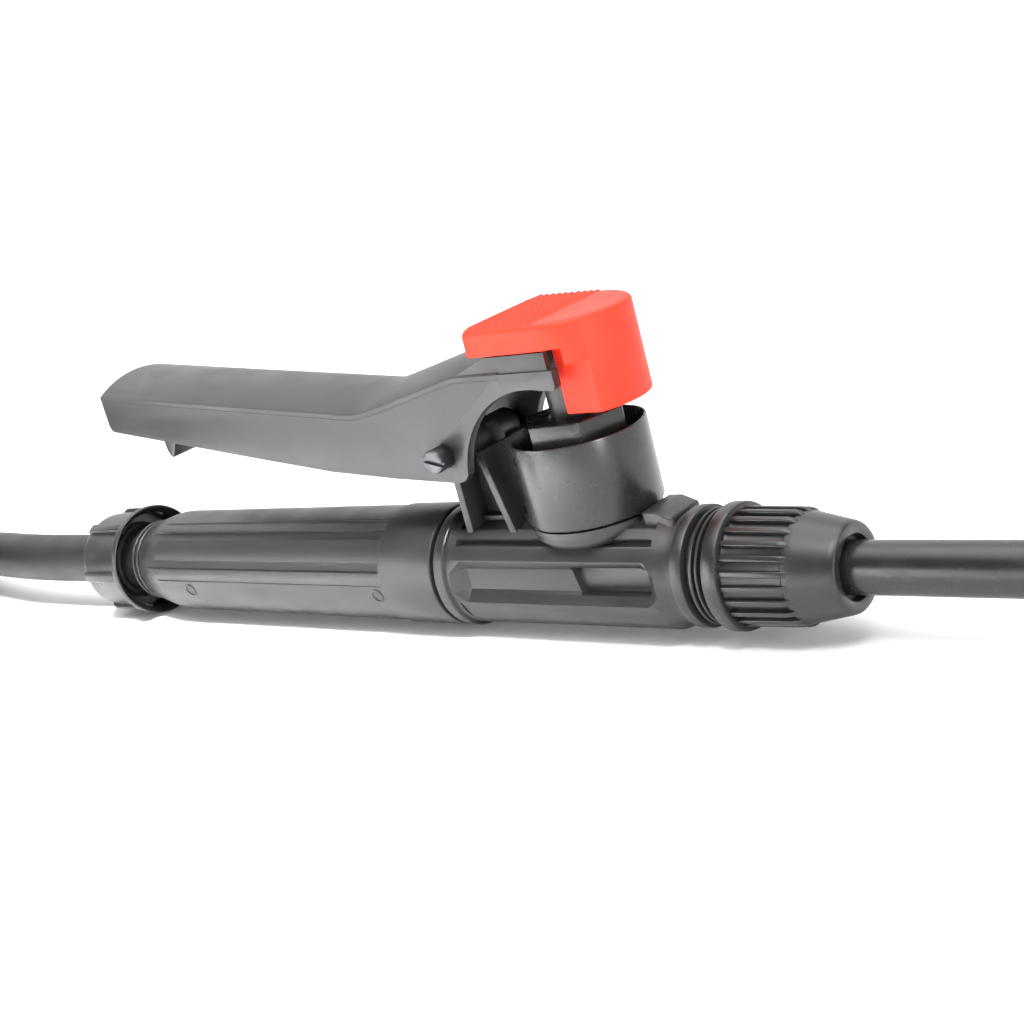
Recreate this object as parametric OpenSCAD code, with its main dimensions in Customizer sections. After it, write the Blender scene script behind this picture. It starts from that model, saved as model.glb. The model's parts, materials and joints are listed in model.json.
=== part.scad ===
// Trigger handle of a hand sprayer, with its hose and lance: squeezing the lever lifts the valve stem.
// The handle axis runs along X, the lance points to +X, the lever is on top. Millimetres.

/* [Grip] */
// Length of the grip from its tail shoulder to the joint with the valve body
grip_len = 97.5; // [80:1:130]
// Radius of the grip at its tail end
grip_tail_r = 12.4; // [11.5:0.1:14]
// Radius of the grip at its collar
grip_collar_r = 13.2; // [12.5:0.1:14]
// Length of the plain collar next to the valve body
collar_len = 15.5; // [8:0.5:25]
// Depth of the step from the collar down to the grooved part
collar_step = 0.3; // [0.1:0.1:0.6]
// Angles of the finger grooves, counted from the near side over the top
groove_angles = [16, 64, 116, 164];
// Width of one groove
groove_w = 2.1; // [1:0.1:3]
// Depth of one groove
groove_depth = 1.1; // [0.5:0.1:1.6]
// Radius of the water way through the handle
bore_r = 4.5; // [3.5:0.1:5]
// Length of the wide filter chamber in the grip
filter_len = 62; // [40:1:75]
// Radius of the filter chamber
filter_chamber_r = 7.5; // [6.5:0.1:9]
// Spacing of the strainer's slots
slot_pitch = 6; // [4:0.5:8]

/* [Hose end of the grip] */
// Length of the threaded tail
tail_len = 23.5; // [20:0.5:26]
// Radius over the thread of the tail
tail_r = 9.6; // [8.5:0.1:10]
// Pitch of the tail thread rings
thread_pitch = 2.4; // [1.5:0.1:3]
// Depth of the thread rings
thread_depth = 0.7; // [0.3:0.1:1]

/* [Hose nut] */
// Length of the hose nut
nut_len = 18.3; // [14:0.1:24]
// Radius of the hose nut behind its flange
nut_r = 12; // [11.5:0.1:13]
// Radius of the nut's open front flange, which the handle lies on
nut_flange_r = 14; // [13.5:0.1:15]
// Length of the front flange
nut_flange_len = 3.6; // [2:0.1:5]
// Thickness of the nut's back wall
nut_back_wall = 3; // [2:0.1:4]
// Radius of the open mouth of the nut
nut_mouth_r = 12.2; // [11:0.1:12.8]
// Depth of the open mouth
nut_mouth_len = 5.5; // [4:0.1:7]
// Number of ribs round the nut
nut_ribs = 6; // [4:1:8]
// Width of one rib
nut_rib_w = 2.2; // [1:0.1:4]

/* [Hose] */
// Outer radius of the hose
hose_r = 6.4; // [6:0.1:7]
// Inner radius of the hose
hose_bore_r = 4; // [3.5:0.1:4.5]
// Radius of the coil at the middle of the hose
coil_r = 70; // [60:1:80]

/* [Hose barb] */
// Length of the barbed stub that the hose is pushed onto
barb_len = 14; // [10:0.5:18]
// Radius over the barbs
barb_r = 4.4; // [4:0.1:5]
// Radius of the water way in the barb
barb_bore_r = 2.5; // [2:0.1:3]
// Radius of the barb's seat flange
seat_r = 8; // [7:0.1:8.4]
// Thickness of the seat flange
seat_t = 2; // [1.5:0.1:3]
// Thickness of the flat sealing washers
washer_t = 1.5; // [1:0.1:2]

/* [Valve body] */
// Length of the ribbed valve body
body_len = 60; // [54:0.5:70]
// Radius of the valve body over its ribs
body_r = 12.4; // [11.5:0.1:13]
// Width of the round ring at each end of the body
ring_w = 3; // [2:0.1:5]
// Gap between the grip collar and the valve body's ring
joint_gap = 1; // [0.5:0.1:2]
// Distance of the joint with the grip from the stem axis
joint_x = 37.5; // [35:0.5:42]
// Radius of the round core tube seen through the side windows
core_r = 8; // [7:0.1:8.5]
// Depth of the recessed side panels below the ribs
panel_depth = 2.8; // [1:0.1:3.5]
// Height of the recessed side panel at its mouth
panel_h = 8.8; // [6:0.1:10]
// Slope of the panel's upper and lower walls, sideways per depth
panel_slope = 0.75; // [0.4:0.05:1]
// Length of the side window
window_len = 18.5; // [12:0.5:20]
// Height of the side window
window_h = 6.2; // [4:0.1:7]
// Width of the raised block behind the bonnet
block_w = 10; // [6:0.5:12]
// Length of the spigot that plugs into the grip
plug_len = 14; // [8:0.5:20]
// Radius of that spigot
plug_r = 9.2; // [8:0.1:10]

/* [Pivot bracket] */
// Distance of the lever pivot behind the stem axis
pivot_x = 25; // [22:0.5:28]
// Height of the lever pivot above the handle axis
pivot_h = 28.6; // [26:0.1:31]
// Half width of the bracket
bracket_hw = 9.6; // [8:0.1:10.5]
// Thickness of the bracket's ribs
rib_t = 1.8; // [1.2:0.1:3]
// Thickness of the bracket's middle web
web_t = 3; // [2:0.1:5]
// Length of the bracket along the handle, at its top
bracket_len = 9.6; // [9:0.1:12]
// Radius of the pivot boss
boss_r = 4.2; // [3.5:0.1:4.2]

/* [Bonnet] */
// Radius of the bonnet nut
bonnet_r = 13.8; // [13:0.1:15]
// Height of the bonnet's lower edge above the handle axis
bonnet_z0 = 12.2; // [11:0.1:14]
// Height of the bonnet's skirt
bonnet_h = 17; // [14:0.1:20]
// Thickness of the bonnet's skirt at its rim
rim_t = 0.8; // [0.8:0.1:1.6]
// Depth of the recess in the bonnet's top
recess_depth = 5; // [2:0.1:6]
// Radius over the corners of the hexagon
hex_r = 10.8; // [9:0.1:11.5]
// Height of the hexagon above the rim
hex_rise = 3.4; // [2:0.1:5]
// Radius of the threaded neck inside the bonnet
neck_r = 11; // [10:0.1:11.5]
// Radius of the neck's round base below the bonnet
neck_base_r = 13.1; // [12.8:0.1:13.4]
// Height of the neck base's round bottom above the handle axis
neck_base_z = 7.8; // [7:0.1:8.5]
// Radius of the valve chamber
chamber_r = 6.6; // [6.4:0.1:7]
// Height of the valve seat above the handle axis
seat_z = 0.5; // [0:0.1:2]

/* [Stem] */
// Radius of the valve stem in the bonnet
stem_r = 4.5; // [3.5:0.1:5]
// Radius of the stem inside the spring
spindle_r = 2.6; // [2:0.1:3]
// Radius of the stem's spring collar
stem_collar_r = 6.2; // [5.5:0.1:6.2]
// Thickness of the stem's spring collar
stem_collar_t = 2.5; // [2:0.1:4]
// Thickness of the rubber valve disc
disc_t = 2; // [1:0.1:3]
// Radius of the rubber valve disc
disc_r = 5.4; // [4:0.1:6]
// Depth of the stem's top end in the thumb head
stem_grip = 4; // [2:0.1:4]
// Radial clearance of the sliding stem
stem_fit = 0.05; // [0.02:0.01:0.1]

/* [Spring] */
// Mean radius of the valve spring
spring_r = 5.4; // [5.2:0.1:5.6]
// Radius of the spring wire
wire_r = 0.6; // [0.4:0.1:0.8]
// Number of turns of the spring
spring_turns = 7; // [5:1:9]

/* [Thumb head] */
// Half width of the thumb head
head_hw = 12.5; // [11:0.1:13.5]
// Distance of the head's left end behind the stem axis
head_back = 13.4; // [11:0.1:14.5]
// Distance from the stem axis to the middle of the head's round end
head_round_x = 4.7; // [4:0.1:7]
// Height of the arm's underside above the handle axis
head_under_z = 48.1; // [46:0.1:50]
// Thickness of the head's arm at its ends
head_t = 4.9; // [4:0.1:7]
// Rise of the domed top over its ends
head_dome = 1; // [0.5:0.1:2]
// Half width of the head's lower block
block_hw = 8.5; // [6:0.1:9]
// Height of the block's lower face above the handle axis
block_z0 = 34.5; // [33.4:0.1:36]
// Gap between the stem axis and the block's flat left side
block_x0 = 5.6; // [5:0.1:6.5]
// Height of the ledge over the lever's tips
ledge_z = 44.8; // [43:0.1:46]
// Distance from the stem axis to the ledge's step
ledge_x = 10; // [9.5:0.1:12]
// Number of thumb ridges
ridges = 10; // [6:1:14]
// Spacing of the thumb ridges
ridge_pitch = 1.6; // [1.2:0.1:2]

/* [Lever] */
// Half width of the lever
lever_hw = 12.5; // [11.5:0.1:13.5]
// Wall of the lever's top and cheeks
lever_wall = 2; // [1.5:0.1:2.8]
// Distance of the lever's tail behind the stem axis
lever_back = 132; // [115:1:145]
// Height of the top's side edges at the lever's tail
lever_tail_z = 47.3; // [45:0.1:50]
// Height of the top's side edges at the bend
lever_bend_z = 38; // [36.5:0.1:39.5]
// Distance of the bend behind the stem axis
lever_bend_x = 48; // [44:0.5:54]
// Rise of the crowned top over its side edges
lever_crown = 3.3; // [2:0.1:4]
// Height of the cheeks at the lever's tail
tail_h = 9; // [7:0.1:10]
// Height of the cheeks below the bend
cheek_h = 11.8; // [10:0.1:13]
// Distance from the pivot to the cheeks' lower edge
pivot_edge = 5.8; // [5:0.1:7]
// Distance behind the stem axis where the top reaches the nose's height
nose_x = 18; // [15:0.5:20]
// How far the nose's sides stand back above their ledge
nose_inset = 0.7; // [0.3:0.1:1.2]
// Distance behind the stem axis where the nose's top ends
web_end_x = 9; // [7:0.5:10]
// Radius of the cheeks' arch over the bonnet
arch_r = 20.5; // [20:0.1:22]
// Clearance between the lever's nose and the head's arm
nose_gap = 0.4; // [0.3:0.05:0.8]
// Distance of the tips beyond the stem axis
tip_x = 7.6; // [6:0.1:8]
// Length of the step on one tip
tip_step = 1.5; // [1:0.1:3]
// Height of one tip
tip_h = 7.2; // [6:0.1:8]
// Distance from the lever's tail to its stop tooth
tooth_from_tail = 12; // [8:0.5:16]
// Depth of the stop tooth below the cheeks
tooth_depth = 9.1; // [6:0.1:9.2]

/* [Pivot screw] */
// Radius of the pivot screw's shank
pin_r = 2; // [1.5:0.1:2.5]
// Radius of the screw's slotted head
pin_head_r = 2.5; // [2.2:0.1:3]
// Length of the slotted head
pin_head_len = 4; // [2:0.1:5]
// Thickness of the pivot nut
pin_nut_t = 3; // [2:0.1:4]
// Radial clearance of the pivot
pin_fit = 0.08; // [0.05:0.01:0.1]

/* [Lance nut] */
// Gap between the valve body's end ring and the lance nut's flange
lance_nut_gap = 3.9; // [3.2:0.1:6.5]
// Length of the lance nut
lance_nut_len = 26; // [22:0.1:30]
// Radius of the nut's flange
lance_flange_r = 12.4; // [12:0.1:13.5]
// Radius over the nut's ribs
lance_rib_r = 11.4; // [11:0.1:12]
// Length of the ribbed part with the flange
lance_rib_len = 16.2; // [12:0.1:18]
// Radius of the nut's nose
lance_nose_r = 8.5; // [7.5:0.1:9]
// Number of ribs round the lance nut
lance_ribs = 24; // [16:1:30]
// Radius of the threaded spigot under the nut
spigot_r = 9.2; // [9:0.1:9.6]
// Length of the spigot beyond the body's end ring
spigot_len = 20; // [17:0.1:22]

/* [Lance] */
// Outer radius of the lance tube
lance_r = 5; // [4.5:0.1:5.2]
// Inner radius of the lance tube
lance_bore_r = 4; // [3:0.1:4.1]
// Length of the lance tube
lance_len = 400; // [300:5:600]
// Depth of the lance in the valve body
lance_socket = 10; // [6:0.5:14]

/* [Nozzle] */
// Angle of the nozzle above the lance
nozzle_angle = 35; // [0:5:45]
// Length of the elbow's socket on the lance
elbow_socket_len = 18; // [14:0.5:24]
// Radius of the elbow
elbow_r = 7.5; // [6.5:0.1:8]
// Radius of the water way in the elbow
elbow_bore_r = 2.5; // [2:0.1:3]
// Radius of the swirl plug
swirl_r = 3.6; // [3.4:0.1:4.5]
// Bend radius of the elbow
elbow_bend_r = 12; // [9:0.5:16]
// Length of the elbow's spigot
elbow_spigot_len = 16; // [12:0.5:20]
// Radius of the nozzle cap
cap_r = 9; // [8:0.1:10]
// Thickness of the nozzle cap's front wall
cap_wall = 2.5; // [1.5:0.1:4]
// How far the swirl plug stands out of the elbow's spigot
plug_out = 1.5; // [1:0.1:3]
// Radius of the spray hole
spray_r = 0.6; // [0.4:0.1:1]

/* [Hidden] */
$fn = 64;
FINE = 32;

BLACK = [0.13, 0.13, 0.14];
RED = [0.9, 0.2, 0.13];
STEEL = [0.7, 0.7, 0.72];
RUBBER = [0.08, 0.08, 0.08];
WHITE = [0.85, 0.85, 0.82];

eps = 0.02;                     // how far a cut runs past the face it opens
turn_fit = 0.08;                // radial clearance of nuts and caps that turn
face_gap = 0.1;                 // axial clearance of nuts and caps that turn
push_fit = 0.05;                // radial clearance of pieces that are pushed or screwed together for good

// Places along the handle axis, counted from the stem axis
grip_x1 = -joint_x - joint_gap;
grip_x0 = grip_x1 - grip_len;
tail_x0 = grip_x0 - tail_len;
groove_x1 = grip_x1 - collar_len;
strainer_x0 = grip_x1 - plug_len - filter_len;
hose_nut_x1 = tail_x0 + nut_len - nut_back_wall - seat_t - washer_t - face_gap;
hose_nut_x0 = hose_nut_x1 - nut_len;
seat_x0 = hose_nut_x0 + nut_back_wall + face_gap;
body_x0 = -joint_x;
body_x1 = body_x0 + body_len;
lance_nut_x = body_x1 + ring_w + lance_nut_gap;
spigot_x1 = body_x1 + ring_w + spigot_len;
lance_x0 = spigot_x1 - lance_socket;
lance_x1 = lance_x0 + lance_len;
lance_nut_x1 = lance_nut_x + lance_nut_len;

// Nozzle: where the elbow's bend starts, and the farthest point of the tilted cap
bend_x = lance_x1 + 1;
cap_from_bend = 2;
cap_depth = elbow_spigot_len - cap_from_bend + plug_out + face_gap;
cap_len = cap_depth + cap_wall;
cap_reach = cap_from_bend + cap_len;
nozzle_x1 = bend_x + elbow_bend_r * sin(nozzle_angle) + cap_reach * cos(nozzle_angle)
    + (cap_r - 1.5) * sin(nozzle_angle);

// Frame: the middle of the rigid handle and lance, from the barb's end to the nozzle, on the surface they lie on
frame_x = -(seat_x0 - barb_len + nozzle_x1) / 2;
axis_z = nut_flange_r;

// Valve heights
bonnet_z1 = bonnet_z0 + bonnet_h;
hex_z1 = bonnet_z1 + hex_rise;
recess_z = bonnet_z1 - recess_depth;
neck_z0 = window_h / 2 + 1.5;
neck_z1 = recess_z - 4;
ceiling_z = neck_z1;
disc_z1 = seat_z + disc_t;
collar_z1 = disc_z1 + stem_collar_t;
stem_z1 = head_under_z + stem_grip - 2;
head_z1 = head_under_z + head_t;
nose_z = head_under_z - nose_gap;
arch_z = nose_z - tip_h + 0.5 - arch_r;
tooth_x = tooth_from_tail - lever_back;
tooth_z = lever_tail_z - tail_h - tooth_depth;
head_len = head_back + head_round_x + head_hw;
seal_ring_r = 1;
seal_groove_r = stem_r + stem_fit + 2 * seal_ring_r;
seal_z = hex_z1 - 4.6;
dome_r = (pow(head_len / 2, 2) + pow(head_dome, 2)) / (2 * head_dome);
crown_r = (pow(lever_hw, 2) + pow(lever_crown, 2)) / (2 * lever_crown);

module place() translate([frame_x, 0, axis_z]) children();
// A solid turned about X from [radius, x] points
module turned(points) rotate([0, 90, 0]) rotate_extrude() polygon(points);
// A round bar along X
module bar_x(x0, x1, r) translate([x0, 0, 0]) rotate([0, 90, 0]) cylinder(h = x1 - x0, r = r);
// A flat shape in the XZ plane, pushed out evenly to both sides
module slab_y(hw) rotate([90, 0, 0]) linear_extrude(2 * hw, center = true) children();

// Grip: a tapered round handle with four grooves, a threaded tail and a filter chamber
module grip() color(BLACK) place() difference() {
    union() {
        turned([[0, grip_x0], [grip_tail_r - 2.4, grip_x0], [grip_tail_r, grip_x0 + 3],
                [grip_collar_r - collar_step, groove_x1], [grip_collar_r, groove_x1],
                [grip_collar_r, grip_x1], [0, grip_x1]]);
        bar_x(tail_x0, grip_x0 + eps, tail_r - thread_depth);
        for (i = [0 : floor((tail_len - 4) / thread_pitch)])
            thread_ring(tail_x0 + 1.5 + i * thread_pitch);
        bar_x(grip_x0 - 2.2, grip_x0 + eps, tail_r + 0.6);
    }
    for (a = groove_angles) groove(a);
    bar_x(tail_x0 - eps, grip_x1 + eps, bore_r);
    bar_x(grip_x1 - plug_len, grip_x1 + eps, plug_r + push_fit);
    bar_x(strainer_x0, grip_x1, filter_chamber_r);
}
module thread_ring(x)
    turned([[tail_r - thread_depth - 0.3, x - 0.8], [tail_r, x - 0.25], [tail_r, x + 0.25],
            [tail_r - thread_depth - 0.3, x + 0.8]]);
module groove(a)
    rotate([180 - a, 0, 0])
        translate([grip_x0 + 2, 0, 0])
            rotate([0, 0, atan((grip_collar_r - grip_tail_r) / grip_len)])
                translate([0, grip_tail_r - groove_depth, -groove_w / 2])
                    cube([groove_x1 - grip_x0 - 4, groove_depth + 2, groove_w]);

// Strainer: a slotted sleeve that stands in the filter chamber
module strainer() color(WHITE) place() difference() {
    union() {
        bar_x(strainer_x0, strainer_x0 + 2, filter_chamber_r - push_fit);
        bar_x(strainer_x0, grip_x1 - plug_len - joint_gap, filter_chamber_r - 1.8);
    }
    bar_x(strainer_x0 + 2, grip_x1, filter_chamber_r - 2.8);
    bar_x(strainer_x0 - eps, grip_x1, bore_r - 1);
    for (i = [0 : floor((filter_len - 10) / slot_pitch)])
        translate([strainer_x0 + slot_pitch * (i + 1), -filter_chamber_r, -1.5])
            cube([slot_pitch / 2, 2 * filter_chamber_r, 3]);
}

// Body seal: the ring in the gap between grip and valve body
module body_seal() color(RUBBER) place()
    turned([[plug_r, grip_x1], [grip_collar_r - 1.4, grip_x1], [grip_collar_r - 1.4, body_x0],
            [plug_r, body_x0]]);

// Valve body: round end rings, a ribbed middle, the neck, the pivot bracket and both spigots
module valve_body() color(BLACK) place() difference() {
    union() {
        difference() {
            turned([[0, body_x0], [grip_collar_r - 0.4, body_x0], [grip_collar_r, body_x0 + 0.4],
                    [grip_collar_r, body_x0 + ring_w - 0.4], [grip_collar_r - 0.4, body_x0 + ring_w],
                    [body_r, body_x0 + ring_w], [body_r, body_x1], [0, body_x1]]);
            for (side = [0, 1]) mirror([0, side, 0]) {
                side_panel();
                side_window();
                shoulder_groove();
            }
        }
        bar_x(body_x0 - plug_len - joint_gap, body_x0 + eps, plug_r);
        bar_x(body_x1 - eps, spigot_x1, spigot_r - thread_depth);
        bar_x(body_x1 - eps, body_x1 + ring_w - 0.6, body_r - 0.5);
        bar_x(body_x1 - eps, lance_nut_x - 0.4, spigot_r + 0.8);
        for (x = [0.6, 2]) bar_x(body_x1 + ring_w + x, body_x1 + ring_w + x + 0.7, body_r - 1.1);
        for (i = [0 : floor((spigot_len - 4) / thread_pitch)])
            spigot_ring(body_x1 + ring_w + 2 + i * thread_pitch);
        neck_base();
        translate([0, 0, neck_z0]) cylinder(h = neck_z1 - neck_z0, r = neck_r);
        top_block();
        bracket();
    }
    bar_x(body_x0 - plug_len - joint_gap - eps, -chamber_r - 3, bore_r);
    translate([0, 0, -bore_r]) bar_x(-chamber_r - 4, 3, 2.2);
    translate([0, 0, -bore_r]) cylinder(h = seat_z + bore_r + eps, r = 2.6);
    translate([0, 0, seat_z]) cylinder(h = neck_z1, r = chamber_r);
    translate([0, 0, seat_z + 3]) bar_x(0, body_x1, 2.2);
    bar_x(body_x1 - 6, spigot_x1 + eps, lance_bore_r);
    bar_x(lance_x0, spigot_x1 + eps, lance_r + turn_fit);
    bar_x(spigot_x1 - 3, spigot_x1 + eps, lance_r + 2);
    pivot_hole(bracket_hw + 2);
}
module spigot_ring(x)
    turned([[spigot_r - thread_depth - 0.3, x - 0.8], [spigot_r, x - 0.25], [spigot_r, x + 0.25],
            [spigot_r - thread_depth - 0.3, x + 0.8]]);
// Recessed panel between the ribs on one side, with sloping walls
module side_panel()
    translate([body_x0 + ring_w + 3.5, 0, 0]) rotate([90, 0, 90])
        linear_extrude(body_len - ring_w - 8)
            polygon([[-body_r - 1, -panel_h / 2 - panel_slope], [-body_r - 1, panel_h / 2 + panel_slope],
                     [-body_r + panel_depth, panel_h / 2 - panel_slope * panel_depth + panel_slope],
                     [-body_r + panel_depth, -panel_h / 2 + panel_slope * panel_depth - panel_slope]]);
// Window through the panel onto the core tube
module side_window()
    difference() {
        translate([body_x1 - 6.5 - window_len, -body_r, -window_h / 2])
            cube([window_len, body_r - 4, window_h]);
        bar_x(body_x0, body_x1, core_r);
    }
// Groove above the side rib, under the bracket
module shoulder_groove()
    translate([body_x0 + ring_w + 2.5, 0, 0]) rotate([90, 0, 90])
        linear_extrude(body_len - ring_w - 6.5)
            polygon([[-body_r * cos(40) - 1.6, body_r * sin(40) + 1], [-body_r * cos(40) + 1.6, body_r * sin(40) - 1],
                     [-5.6, body_r - 2], [-5.6, body_r + 2], [-body_r - 2, body_r + 2]]);
// Round base of the neck, drawn in below the bonnet
module neck_base()
    rotate_extrude() polygon([[0, neck_z0], [neck_base_r - 2.6, neck_base_z], [neck_base_r - 1.2, neck_base_z + 0.5],
        [neck_base_r - 0.3, neck_base_z + 1.4], [neck_base_r, neck_base_z + 2.4], [neck_base_r, bonnet_z0 - 0.4],
        [0, bonnet_z0 - 0.4]]);
// Raised block behind the bonnet, on the lance side
module top_block()
    slab_y(block_w / 2) polygon([[bonnet_r + 0.4, 0], [bonnet_r + 0.4, body_r + 0.6], [body_x1 - 5, body_r + 0.6],
        [body_x1 - 1, body_r - 0.8], [body_x1 - 1, 0]]);
// Pivot bracket: a web with two cross ribs and the pivot boss
module bracket() {
    left = -pivot_x - bracket_len / 2;
    right = -pivot_x + bracket_len / 2;
    slab_y(web_t / 2)
        polygon([[left + 0.3, 0], [left + 0.3, pivot_h], [right - 0.3, pivot_h], [right + 2, 0]]);
    slab_y(bracket_hw - 1.6)
        polygon([[left, 8], [left, pivot_h - 2], [left + rib_t, pivot_h - 2], [left + rib_t, 8]]);
    slab_y(bracket_hw - 1.6)
        polygon([[right + 2.4, 8], [right - rib_t, pivot_h - 1], [right, pivot_h - 1], [right + 2.4 + rib_t, 8]]);
    translate([-pivot_x, bracket_hw, pivot_h]) rotate([90, 0, 0]) cylinder(h = 2 * bracket_hw, r = boss_r);
}
module pivot_hole(hw)
    translate([-pivot_x, hw, pivot_h]) rotate([90, 0, 0]) cylinder(h = 2 * hw, r = pin_r + pin_fit);

// Bonnet nut: a round cap nut with a recessed hexagon, screwed over the neck
module bonnet_nut() color(BLACK) place() difference() {
    union() {
        translate([0, 0, bonnet_z0]) difference() {
            cylinder(h = bonnet_h, r = bonnet_r);
            translate([0, 0, bonnet_h - recess_depth]) cylinder(h = recess_depth + 1, r = bonnet_r - rim_t);
        }
        translate([0, 0, bonnet_z0]) rotate([0, 0, -50]) cylinder(h = hex_z1 - bonnet_z0, r = hex_r, $fn = 6);
    }
    translate([0, 0, bonnet_z0 - 1]) cylinder(h = neck_z1 - bonnet_z0 + 1, r = neck_r + push_fit);
    translate([0, 0, bonnet_z0]) cylinder(h = hex_z1, r = stem_r + stem_fit);
    translate([0, 0, seal_z - seal_ring_r]) cylinder(h = 2 * seal_ring_r, r = seal_groove_r);
}

// Stem seal: the rubber ring in the bonnet's groove
module stem_seal() color(RUBBER) place()
    translate([0, 0, seal_z]) rotate_extrude()
        translate([seal_groove_r - seal_ring_r, 0]) circle(r = seal_ring_r, $fn = FINE);

// Valve spring: one closed helix between the stem's collar and the bonnet's ceiling
spring_steps = 16;              // rings of the spring's mesh in one turn
spring_sides = 8;
function spring_ring(i, n, rise) = [for (k = [0 : spring_sides - 1])
    let (a = 360 * i / spring_steps, b = 360 * k / spring_sides, r = spring_r + wire_r * cos(b))
        [r * cos(a), r * sin(a), collar_z1 + wire_r + rise * i / n + wire_r * sin(b)]];
// Side faces and end caps of a tube of n + 1 rings
function tube_faces(n, sides) = [
    for (i = [0 : n - 1], k = [0 : sides - 1])
        [i * sides + k, (i + 1) * sides + k, (i + 1) * sides + (k + 1) % sides, i * sides + (k + 1) % sides],
    [for (k = [0 : sides - 1]) k],
    [for (k = [sides - 1 : -1 : 0]) n * sides + k]];
module valve_spring() color(STEEL) place() {
    n = spring_turns * spring_steps;
    rise = ceiling_z - collar_z1 - 2 * wire_r;
    polyhedron([for (i = [0 : n]) each spring_ring(i, n, rise)], tube_faces(n, spring_sides));
}

// Valve disc: the rubber face that closes on the seat
module valve_disc() color(RUBBER) place() translate([0, 0, seat_z]) cylinder(h = disc_t, r = disc_r);

// Valve stem: collar, spindle inside the spring, and the rod up to the thumb head
module valve_stem() color(BLACK) place() rotate_extrude() polygon([
    [0, disc_z1], [stem_collar_r, disc_z1], [stem_collar_r, collar_z1], [spindle_r, collar_z1],
    [spindle_r, ceiling_z - 7], [stem_r, ceiling_z - 6], [stem_r, stem_z1], [0, stem_z1]]);

// Thumb head: an arm over the lever's nose and a block down beside the stem
module head_plan() {
    translate([-head_back + 2, -head_hw + 2]) offset(r = 2, $fn = FINE)
        square([head_back - 4, 2 * head_hw - 4]);
    intersection() {
        translate([head_round_x, 0]) circle(r = head_hw);
        translate([0, -head_hw]) square([2 * head_hw, 2 * head_hw]);
    }
    translate([-2, -head_hw]) square([2 + head_round_x, 2 * head_hw]);
}
module thumb_head() color(RED) place() difference() {
    translate([0, 0, block_z0]) linear_extrude(head_z1 + head_dome - block_z0) head_plan();
    // space under the arm
    slab_y(head_hw + 1) polygon([
        [-head_back - 1, 0], [block_x0, 0], [block_x0, head_under_z], [-head_back - 1, head_under_z]]);
    // space beside the block, over the lever's tips
    for (side = [-1, 1])
        translate([block_x0 - eps, side > 0 ? block_hw : -head_hw - 1, 0])
            union() {
                cube([ledge_x - block_x0, head_hw + 1 - block_hw, head_under_z]);
                cube([3 * head_hw, head_hw + 1 - block_hw, ledge_z]);
            }
    // domed top
    slab_y(head_hw + 1) difference() {
        translate([-head_back - 2, head_z1 - 4]) square([3 * head_hw, 8]);
        translate([head_len / 2 - head_back, head_z1 + head_dome - dome_r]) circle(r = dome_r, $fn = 720);
    }
    for (i = [0 : ridges - 1])
        translate([-head_back + 3 + i * ridge_pitch, 0, head_z1 + head_dome + 0.1])
            rotate([90, 0, 0]) cylinder(h = 2 * head_hw - 3, r = 0.5, center = true, $fn = 4);
    translate([0, 0, block_z0 - 1]) cylinder(h = stem_z1 - block_z0 + 1, r = stem_r);
}

// Lever: a channel with a bent, crowned top, a stop tooth and two tips beside the stem
module lever_side() difference() {
    polygon([
        [-lever_back, lever_tail_z + lever_crown + 1], [-lever_bend_x, lever_bend_z + lever_crown + 1],
        [-nose_x, nose_z + 1], [-nose_x, nose_z],
        [tip_x - tip_step, nose_z], [tip_x - tip_step, nose_z - tip_h / 2], [tip_x, nose_z - tip_h / 2],
        [tip_x, nose_z - tip_h], [0, nose_z - tip_h], [0, pivot_h], [-arch_r + 0.1, arch_z + 4.5],
        [-pivot_x + 1, pivot_h - pivot_edge], [-lever_bend_x - 11, lever_bend_z - cheek_h],
        [-lever_back + 1.5, lever_tail_z - tail_h], [-lever_back, lever_tail_z - tail_h + 1.5]]);
    translate([0, arch_z]) circle(r = arch_r);
}
// A long round bar whose crown runs through two points of the lever's side edge
module crown_bar(x0, z0, x1, z1)
    translate([x0, 0, z0]) rotate([0, -atan((z1 - z0) / (x1 - x0)), 0])
        translate([0, 0, lever_crown - crown_r]) rotate([0, 90, 0])
            cylinder(h = 2 * lever_back, r = crown_r, center = true);
// Everything under the crowned top, and the nose with its ledge
module under_top() {
    crown_bar(-lever_back, lever_tail_z, -lever_bend_x, lever_bend_z);
    intersection() {
        crown_bar(-lever_bend_x, lever_bend_z, -nose_x, nose_z - lever_crown);
        slab_y(lever_hw + 1) translate([-lever_back, 0]) square([lever_back - nose_x + eps, 2 * nose_z]);
    }
    slab_y(lever_hw - nose_inset) translate([-nose_x, 0]) square([nose_x + tip_x + 1, nose_z + 2]);
    slab_y(lever_hw + 1) translate([-nose_x, 0]) square([nose_x + tip_x + 1, nose_z - lever_crown]);
}
module lever_hollow() polygon([
    [-lever_back + lever_wall, lever_tail_z - lever_wall / 2], [-lever_bend_x, lever_bend_z - lever_wall / 2],
    [-nose_x, nose_z - lever_crown - lever_wall / 2], [-nose_x + 4, nose_z - lever_wall],
    [-web_end_x, nose_z - lever_wall], [-web_end_x, nose_z + lever_wall],
    [tip_x + lever_wall, nose_z + lever_wall], [tip_x + lever_wall, 0], [-lever_back + lever_wall, 0]]);
module lever() color(BLACK) place() difference() {
    union() {
        difference() {
            intersection() {
                slab_y(lever_hw) lever_side();
                under_top();
            }
            slab_y(lever_hw - lever_wall) lever_hollow();
        }
        tooth();
    }
    pivot_hole(lever_hw + 1);
}
module tooth()
    slab_y(lever_hw / 2) polygon([
        [tooth_x - 2.5, lever_tail_z - 0.8], [tooth_x - 1.5, tooth_z + 1], [tooth_x, tooth_z],
        [tooth_x + 6, lever_tail_z - 1.6]]);

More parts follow.
